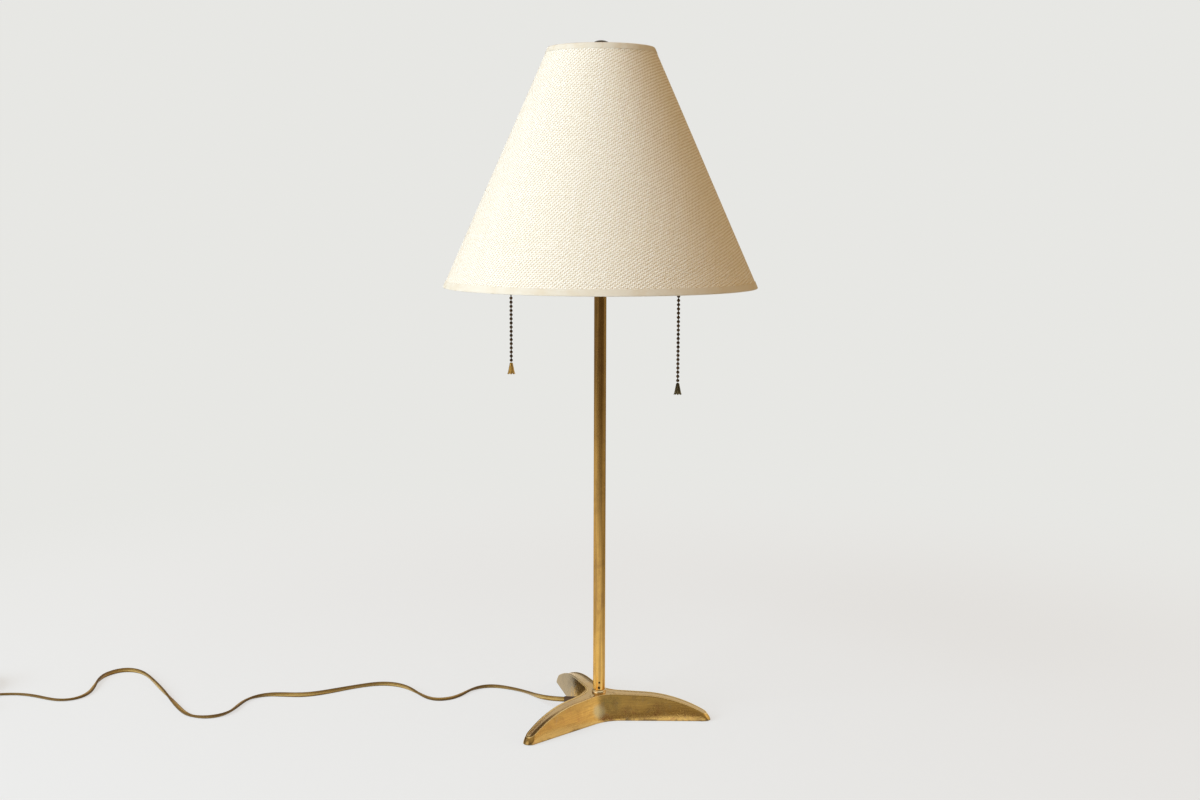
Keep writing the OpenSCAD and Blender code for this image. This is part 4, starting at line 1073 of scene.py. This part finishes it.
# %% The other metals
# Each row: a name, the bright colour, the dull one, the dull share, the roughness and the scale.
metals = {
    "seat_brass": (
        "pale brass ring", (0.78, 0.62, 0.36), (0.55, 0.40, 0.20), 0.3, (0.16, 0.3), 160.0,
    ),
    "plated_steel": (
        "zinc-plated steel", (0.62, 0.62, 0.60), (0.45, 0.44, 0.40), 0.4, (0.28, 0.5), 120.0,
    ),
    "cluster_brass": (
        "spun brass fittings", (0.62, 0.44, 0.20), (0.38, 0.26, 0.12), 0.45, (0.2, 0.38), 70.0,
    ),
    "socket_brass": (
        "brass socket shell", (0.70, 0.50, 0.22), (0.50, 0.34, 0.15), 0.35, (0.18, 0.34), 80.0,
    ),
    "screw_aluminium": (
        "rolled aluminium screw", (0.80, 0.80, 0.79), (0.62, 0.61, 0.58), 0.3, (0.2, 0.38), 150.0,
    ),
    "bronze_dark": (
        "darkened bronze", (0.105, 0.066, 0.036), (0.04, 0.027, 0.017), 0.5, (0.2, 0.38), 150.0,
    ),
    "bell_gold": (
        "gilt bell", (0.62, 0.40, 0.12), (0.22, 0.14, 0.045), 0.42, (0.18, 0.34), 260.0,
    ),
    # painted shade: the right bell is the left bell's twin, coloured dark as its shaded copy
    "bell_olive": (
        "right bell in painted shade", (0.15, 0.125, 0.07), (0.06, 0.05, 0.03), 0.5, (0.22, 0.4), 260.0,
    ),
    "blade_brass": (
        "stamped brass blades", (0.74, 0.56, 0.28), (0.55, 0.40, 0.20), 0.3, (0.2, 0.35), 140.0,
    ),
}
metals = {slot: metal(*row) for slot, row in metals.items()}

# %% [markdown]
# ## Cloth, paper, plastic and glass
#
# The linen's colour comes from its height: threads are ivory, and the deep corners between them
# are tan, partly the ground and partly painted shade in the hollows. Its bump is half a
# millimetre. Plastics get a fine mould grain and a few dull patches from handling, because a
# perfectly even plastic looks like wax.

# %% Linen
linen_look, tree, shader, _ = new_material("slubby ivory linen")
cut_map = add(tree, "ShaderNodeUVMap", uv_map="pattern")
threads = tree.nodes.new("ShaderNodeGroup")
threads.node_tree = weave
tree.links.new(cut_map, threads.inputs["Map"])
uneven_yarn = clouds(tree, stretch(tree, cut_map, (420.0, 260.0, 1.0)), 1.0, 3.0)
threads_over_shaded_ground = between(tree, weighed(tree, uneven_yarn, 0.36, threads.outputs["Height"]), 0.24, 0.74)
aging = clouds(tree, cut_map, 9.0, 3.0)
yarn = layers(
    tree, (0.95, 0.91, 0.82),
    (between(tree, threads.outputs["Streak"], 0.3, 0.7), (1.0, 0.985, 0.94)),
    (weighed(tree, threads.outputs["Upright"], -0.3, 0.3), (0.82, 0.745, 0.61)),
    (times(tree, threads.outputs["Slub"], 0.5), (0.995, 0.975, 0.92)),
)
# the tan between the threads is partly the ground and partly painted shade in the hollows
cloth_colour = layers(
    tree, (0.56, 0.46, 0.31), (threads_over_shaded_ground, yarn),
    (between(tree, aging, 0.45, 0.75, 0.0, 0.15), (0.86, 0.76, 0.58)),
)
fibres = clouds(tree, stretch(tree, cut_map, (5200.0, 2600.0, 1.0)), 1.0, 3.0)
cloth_height = weighed(tree, threads.outputs["Slub"], 0.35, threads.outputs["Height"])
cloth_height = weighed(tree, fibres, 0.08, cloth_height)
feed(
    tree, shader, Base_Color=cloth_colour, Roughness=0.88, Sheen_Weight=0.12, Sheen_Roughness=0.6,
    Specular_IOR_Level=0.25, Normal=bump(tree, cloth_height, 0.0005),
)

# %% Tape, liner and paper
tape_look, tree, shader, _ = new_material("cotton tape")
tape_map = add(tree, "ShaderNodeUVMap", uv_map="pattern")
RIB_PITCH = 0.0011
rib_at = add(tree, "ShaderNodeSeparateXYZ", {0: tape_map})
rib = calc(tree, "SINE", times(tree, rib_at, 2 * math.pi / RIB_PITCH))
fuzz = clouds(tree, stretch(tree, tape_map, (2400.0, 3600.0, 1.0)), 1.0, 4.0)
soil = clouds(tree, tape_map, 45.0, 4.0)
tape_height = weighed(tree, rib, 0.25, fuzz)
tape_colour = blend(tree, between(tree, soil, 0.4, 0.75), (0.74, 0.705, 0.625), (0.69, 0.62, 0.50))
tape_colour = blend(tree, between(tree, fuzz, 0.35, 0.7, 0.3, 0.0), tape_colour, (0.68, 0.58, 0.42))
feed(
    tree, shader, Base_Color=tape_colour, Roughness=0.85, Sheen_Weight=0.1, Specular_IOR_Level=0.25,
    Normal=bump(tree, tape_height, 0.00008),
)

liner_look, tree, shader, place = new_material("white styrene liner")
dust = clouds(tree, place, 70.0, 4.0)
warm = use(tree, spot, place, Centre=(0.0, 0.0, 0.59), Radius=0.17, Ragged=0.4)
liner_colour = blend(tree, between(tree, dust, 0.42, 0.8), (0.90, 0.88, 0.83), (0.85, 0.82, 0.75))
liner_colour = blend(tree, times(tree, warm, 0.35), liner_colour, (0.86, 0.79, 0.63))
feed(
    tree, shader, Base_Color=liner_colour, Roughness=between(tree, dust, 0.3, 0.7, 0.42, 0.6),
    Normal=bump(tree, clouds(tree, place, 420.0), 0.00004),
)


def dull_solid(name, base, other, rough=(0.4, 0.55), fine=1600.0, broad=40.0, deep=0.00003):
    """Plastic, rubber, card or paper: two near colours, uneven gloss and a fine surface grain."""
    material, tree, shader, place = new_material(name)
    grain = clouds(tree, place, fine, 3.0)
    patch = clouds(tree, place, broad, 4.0)
    colour = blend(tree, between(tree, patch, 0.4, 0.7, 0.0, 0.6), base, other)
    wear = weighed(tree, patch, 0.7, times(tree, grain, 0.3))
    roughness = between(tree, wear, 0.3, 0.7, *rough)
    feed(tree, shader, Base_Color=colour, Roughness=roughness, Normal=bump(tree, grain, deep))
    return material


solids = {
    "pad_felt": dull_solid(
        "dark felt", (0.045, 0.05, 0.042), (0.09, 0.09, 0.08), (0.85, 0.95), 3200.0, 300.0, 0.0002
    ),
    "brown_rubber": dull_solid(
        "brown rubber", (0.075, 0.045, 0.028), (0.12, 0.08, 0.05), (0.45, 0.62)
    ),
    "wire_insulation": dull_solid(
        "wire insulation", (0.20, 0.11, 0.055), (0.27, 0.16, 0.09), (0.35, 0.5)
    ),
    "connector_plastic": dull_solid(
        "cream connector", (0.72, 0.66, 0.52), (0.60, 0.53, 0.40), (0.35, 0.5)
    ),
    "sleeve_card": dull_solid(
        "waxed card sleeve", (0.27, 0.20, 0.13), (0.18, 0.13, 0.085), (0.7, 0.85), 1100.0, 60.0,
        0.0001
    ),
    "switch_phenolic": dull_solid(
        "black phenolic", (0.03, 0.026, 0.023), (0.055, 0.05, 0.045), (0.3, 0.45)
    ),
    "tie_paper": dull_solid(
        "paper-covered tie", (0.06, 0.045, 0.035), (0.13, 0.10, 0.08), (0.6, 0.8), 2400.0, 200.0,
        0.0001
    ),
    "plug_brown": dull_solid(
        "moulded brown plug", (0.085, 0.048, 0.026), (0.13, 0.08, 0.045), (0.36, 0.5)
    ),
}

# %% Frosted glass
glass_look, tree, shader, place = new_material("frosted bulb glass")
haze = clouds(tree, place, 60.0, 4.0)
frost = clouds(tree, place, 2400.0, 2.0)
bulb_colour = blend(tree, between(tree, haze, 0.4, 0.8), (0.93, 0.93, 0.91), (0.84, 0.83, 0.80))
feed(
    tree, shader, Base_Color=bulb_colour, Roughness=between(tree, frost, 0.3, 0.7, 0.22, 0.38),
    Subsurface_Weight=0.25, Subsurface_Scale=0.01, Coat_Weight=0.4, Coat_Roughness=0.12,
    Normal=bump(tree, frost, 0.00001),
)

# %% The cord's two cores
cord_look, tree, shader, place = new_material("brown twin cord")
waist_mark = add(tree, "ShaderNodeAttribute", out=2, attribute_name="waist")
run_mark = add(tree, "ShaderNodeAttribute", out=2, attribute_name="run")
seam = between(tree, waist_mark, 0.10, 0.42, 1.0, 0.0)
smudge = clouds(tree, place, 60.0, 4.0)
run_share = times(tree, run_mark, 90.0)
along_cord = add(tree, "ShaderNodeCombineXYZ", {0: run_share, 1: waist_mark})
extruded = clouds(tree, along_cord, 6.0, 3.0)
core_colour = blend(
    tree, between(tree, smudge, 0.35, 0.7), (0.23, 0.135, 0.035), (0.32, 0.20, 0.06)
)
core_colour = blend(tree, times(tree, seam, 0.8), core_colour, (0.56, 0.39, 0.14))
# painted shade: the cord's two edges are coloured near black, as its shaded sides
core_colour = blend(
    tree, between(tree, waist_mark, 0.7, 0.95, 0.0, 0.6), core_colour, (0.06, 0.034, 0.014)
)
feed(
    tree, shader, Base_Color=core_colour, Roughness=between(tree, extruded, 0.35, 0.65, 0.34, 0.5),
    Specular_IOR_Level=0.22, Normal=bump(tree, extruded, 0.00004),
)

# %% Finishes by slot
finishes = {
    **metals, **solids, "foot_brass": foot_metal, "stem_brass": stem_metal,
    "shade_linen": linen_look, "rim_tape": tape_look, "shade_liner": liner_look,
    "bulb_frost": glass_look, "cord_brown": cord_look,
}
for piece, slot in new_pieces:
    piece.data.materials.clear()
    piece.data.materials.append(finishes[slot])
dressed = 0
for node in nodes.values():
    for place in node.material_slots:
        if place.material and place.material.name in finishes:
            place.material = finishes[place.material.name]
            dressed += 1
print(dressed, "slots of the frame's pieces have their finish")

# %% [markdown]
# ## Table, backdrop and light
#
# The lamp stood on a seamless pale sweep. Here a wide table fades into the colour of the world
# before it ends, so no edge shows from any side. To the camera it shows mostly its own pale
# colour and a little of the light that falls on it, which keeps the soft shadow. The main light
# is a large soft panel at the left, a little in front. The world adds a warm, nearly even light,
# with a brighter patch at the right for the shade's far side. For reflections the world is darker
# in front and brighter at the left, as the studio was, because that is what the brass shows.

# %% The table
BACKDROP = (0.80, 0.80, 0.775)
stage_look, tree, shader, place = new_material("pale paper sweep")
tree.nodes.remove(shader)
paper = clouds(tree, place, 3.0, 2.0)
paper_colour = blend(tree, paper, (0.64, 0.70, 0.76), (0.66, 0.72, 0.78))
lit = add(tree, "ShaderNodeBsdfDiffuse", {"Color": paper_colour})
ray = tree.nodes.new("ShaderNodeLightPath")
axes = tree.nodes.new("ShaderNodeSeparateXYZ")
tree.links.new(place, axes.inputs[0])
away = add(tree, "ShaderNodeVectorMath", {0: place}, out=1, operation="LENGTH")
far = between(tree, away, 0.45, 1.4)
at_right = between(tree, axes.outputs["X"], 0.14, 0.6)
dim = calc(tree, "MAXIMUM", at_right, between(tree, away, 0.8, 3.0))
for_metal = blend(tree, dim, (0.90, 0.885, 0.85), (0.42, 0.385, 0.32))
for_metal = blend(
    tree, between(tree, axes.outputs["Y"], -1.9, -0.5), (0.15, 0.112, 0.07), for_metal
)
for_eye = blend(tree, far, (0.94, 0.945, 0.945), BACKDROP)
own_colour = blend(tree, ray.outputs["Is Glossy Ray"], for_eye, for_metal)
own = add(tree, "ShaderNodeEmission", {"Color": own_colour, "Strength": 1.0})
seen = times(tree, ray.outputs["Is Camera Ray"], weighed(tree, far, 0.32, 0.68))
share = calc(tree, "ADD", seen, ray.outputs["Is Glossy Ray"], clamp=True)
surface = add(tree, "ShaderNodeMixShader", {0: share, 1: lit, 2: own})
tree.links.new(surface, tree.nodes["Material Output"].inputs["Surface"])
ring_r = np.array([0.01, 0.3, 0.6, 1.0, 1.6, 2.6, 5.0, 9.0, 16.0, 30.0])
TABLE_POINTS = 48
ring_a = np.arange(TABLE_POINTS) * 2 * math.pi / TABLE_POINTS
disc = ring_r[:, None, None] * np.stack([np.cos(ring_a), np.sin(ring_a), 0 * ring_a], -1)
disc = np.concatenate([np.zeros((1, TABLE_POINTS, 3)), disc])
table = mesh_piece(
    "pale_table", disc.reshape(-1, 3), grid_faces(*disc.shape[:2], wrap_columns=True)
)
if table.data.polygons[0].normal.z < 0:
    table.data.flip_normals()
table.data.materials.append(stage_look)

# %% The main light
PANEL_SIZE = (2.4, 2.2)
PANEL_WATTS = 123.0
PANEL_AWAY, PANEL_AIM = 3.2, [0, 0, 0.35]
panel = bpy.data.lights.new("window_panel", "AREA")
panel.shape = "RECTANGLE"
panel.size, panel.size_y = PANEL_SIZE
panel.energy = PANEL_WATTS
panel.color = (0.86, 0.99, 1.08)
panel_object = bpy.data.objects.new("window_panel", panel)
bpy.context.scene.collection.objects.link(panel_object)
panel_direction = np.array([-0.785, -0.58, 0.42])
panel_direction /= np.linalg.norm(panel_direction)
panel_object.location = panel_direction * PANEL_AWAY + PANEL_AIM
panel_object.rotation_mode = "QUATERNION"
panel_turn = Vector(panel_direction.tolist()).to_track_quat("Z", "Y")
panel_object.rotation_quaternion = panel_turn
panel_object.visible_glossy = False

# %% The world
world = bpy.data.worlds.new("studio")
bpy.context.scene.world = world
world.use_nodes = True
tree = world.node_tree
tree.nodes.clear()
direction = add(tree, "ShaderNodeTexCoord", out=0)
axes = tree.nodes.new("ShaderNodeSeparateXYZ")
tree.links.new(direction, axes.inputs[0])
rays = tree.nodes.new("ShaderNodeLightPath")
across, deep, up = [axes.outputs[name] for name in "XYZ"]


def towards(way):
    """How nearly a direction points one way: the dot product with it."""
    inputs = {0: direction, 1: way}
    return add(tree, "ShaderNodeVectorMath", inputs, out=1, operation="DOT_PRODUCT")


back_left = between(tree, across, -0.12, -0.3)
back_left = times(tree, between(tree, deep, 0.05, 0.4), back_left)
mirror = layers(
    tree, (0.21, 0.165, 0.105),
    (between(tree, up, 0.08, 0.5), (0.42, 0.38, 0.30)),
    (between(tree, deep, -0.25, 0.55), (0.62, 0.61, 0.58)),
    (back_left, (0.12, 0.10, 0.075)),
    (between(tree, towards((-0.80, -0.58, 0.15)), 0.80, 0.97), (1.25, 1.2, 1.1)),
    (between(tree, towards((0.95, 0.12, 0.28)), 0.78, 0.97, 0.0, 0.9), (0.95, 0.82, 0.62)),
)
ambient = layers(
    tree, (0.30, 0.21, 0.08),
    (between(tree, up, 0.0, 0.8), (0.37, 0.17, 0.01)),
    (between(tree, towards((0.98, -0.05, 0.1)), 0.6, 1.0, 0.0, 1.0), (1.15, 0.96, 0.66)),
)
even = add(tree, "ShaderNodeBackground", {"Color": ambient, "Strength": 1.0})
pale = add(tree, "ShaderNodeBackground", {"Color": (*BACKDROP, 1), "Strength": 1.0})
reflected = add(tree, "ShaderNodeBackground", {"Color": mirror, "Strength": 1.0})
seen_through = calc(
    tree, "MAXIMUM", rays.outputs["Is Camera Ray"], rays.outputs["Is Transmission Ray"]
)
light = add(tree, "ShaderNodeMixShader", {0: seen_through, 1: even, 2: pale})
light = add(tree, "ShaderNodeMixShader", {0: rays.outputs["Is Glossy Ray"], 1: light, 2: reflected})
world_out = tree.nodes.new("ShaderNodeOutputWorld")
tree.links.new(light, world_out.inputs["Surface"])
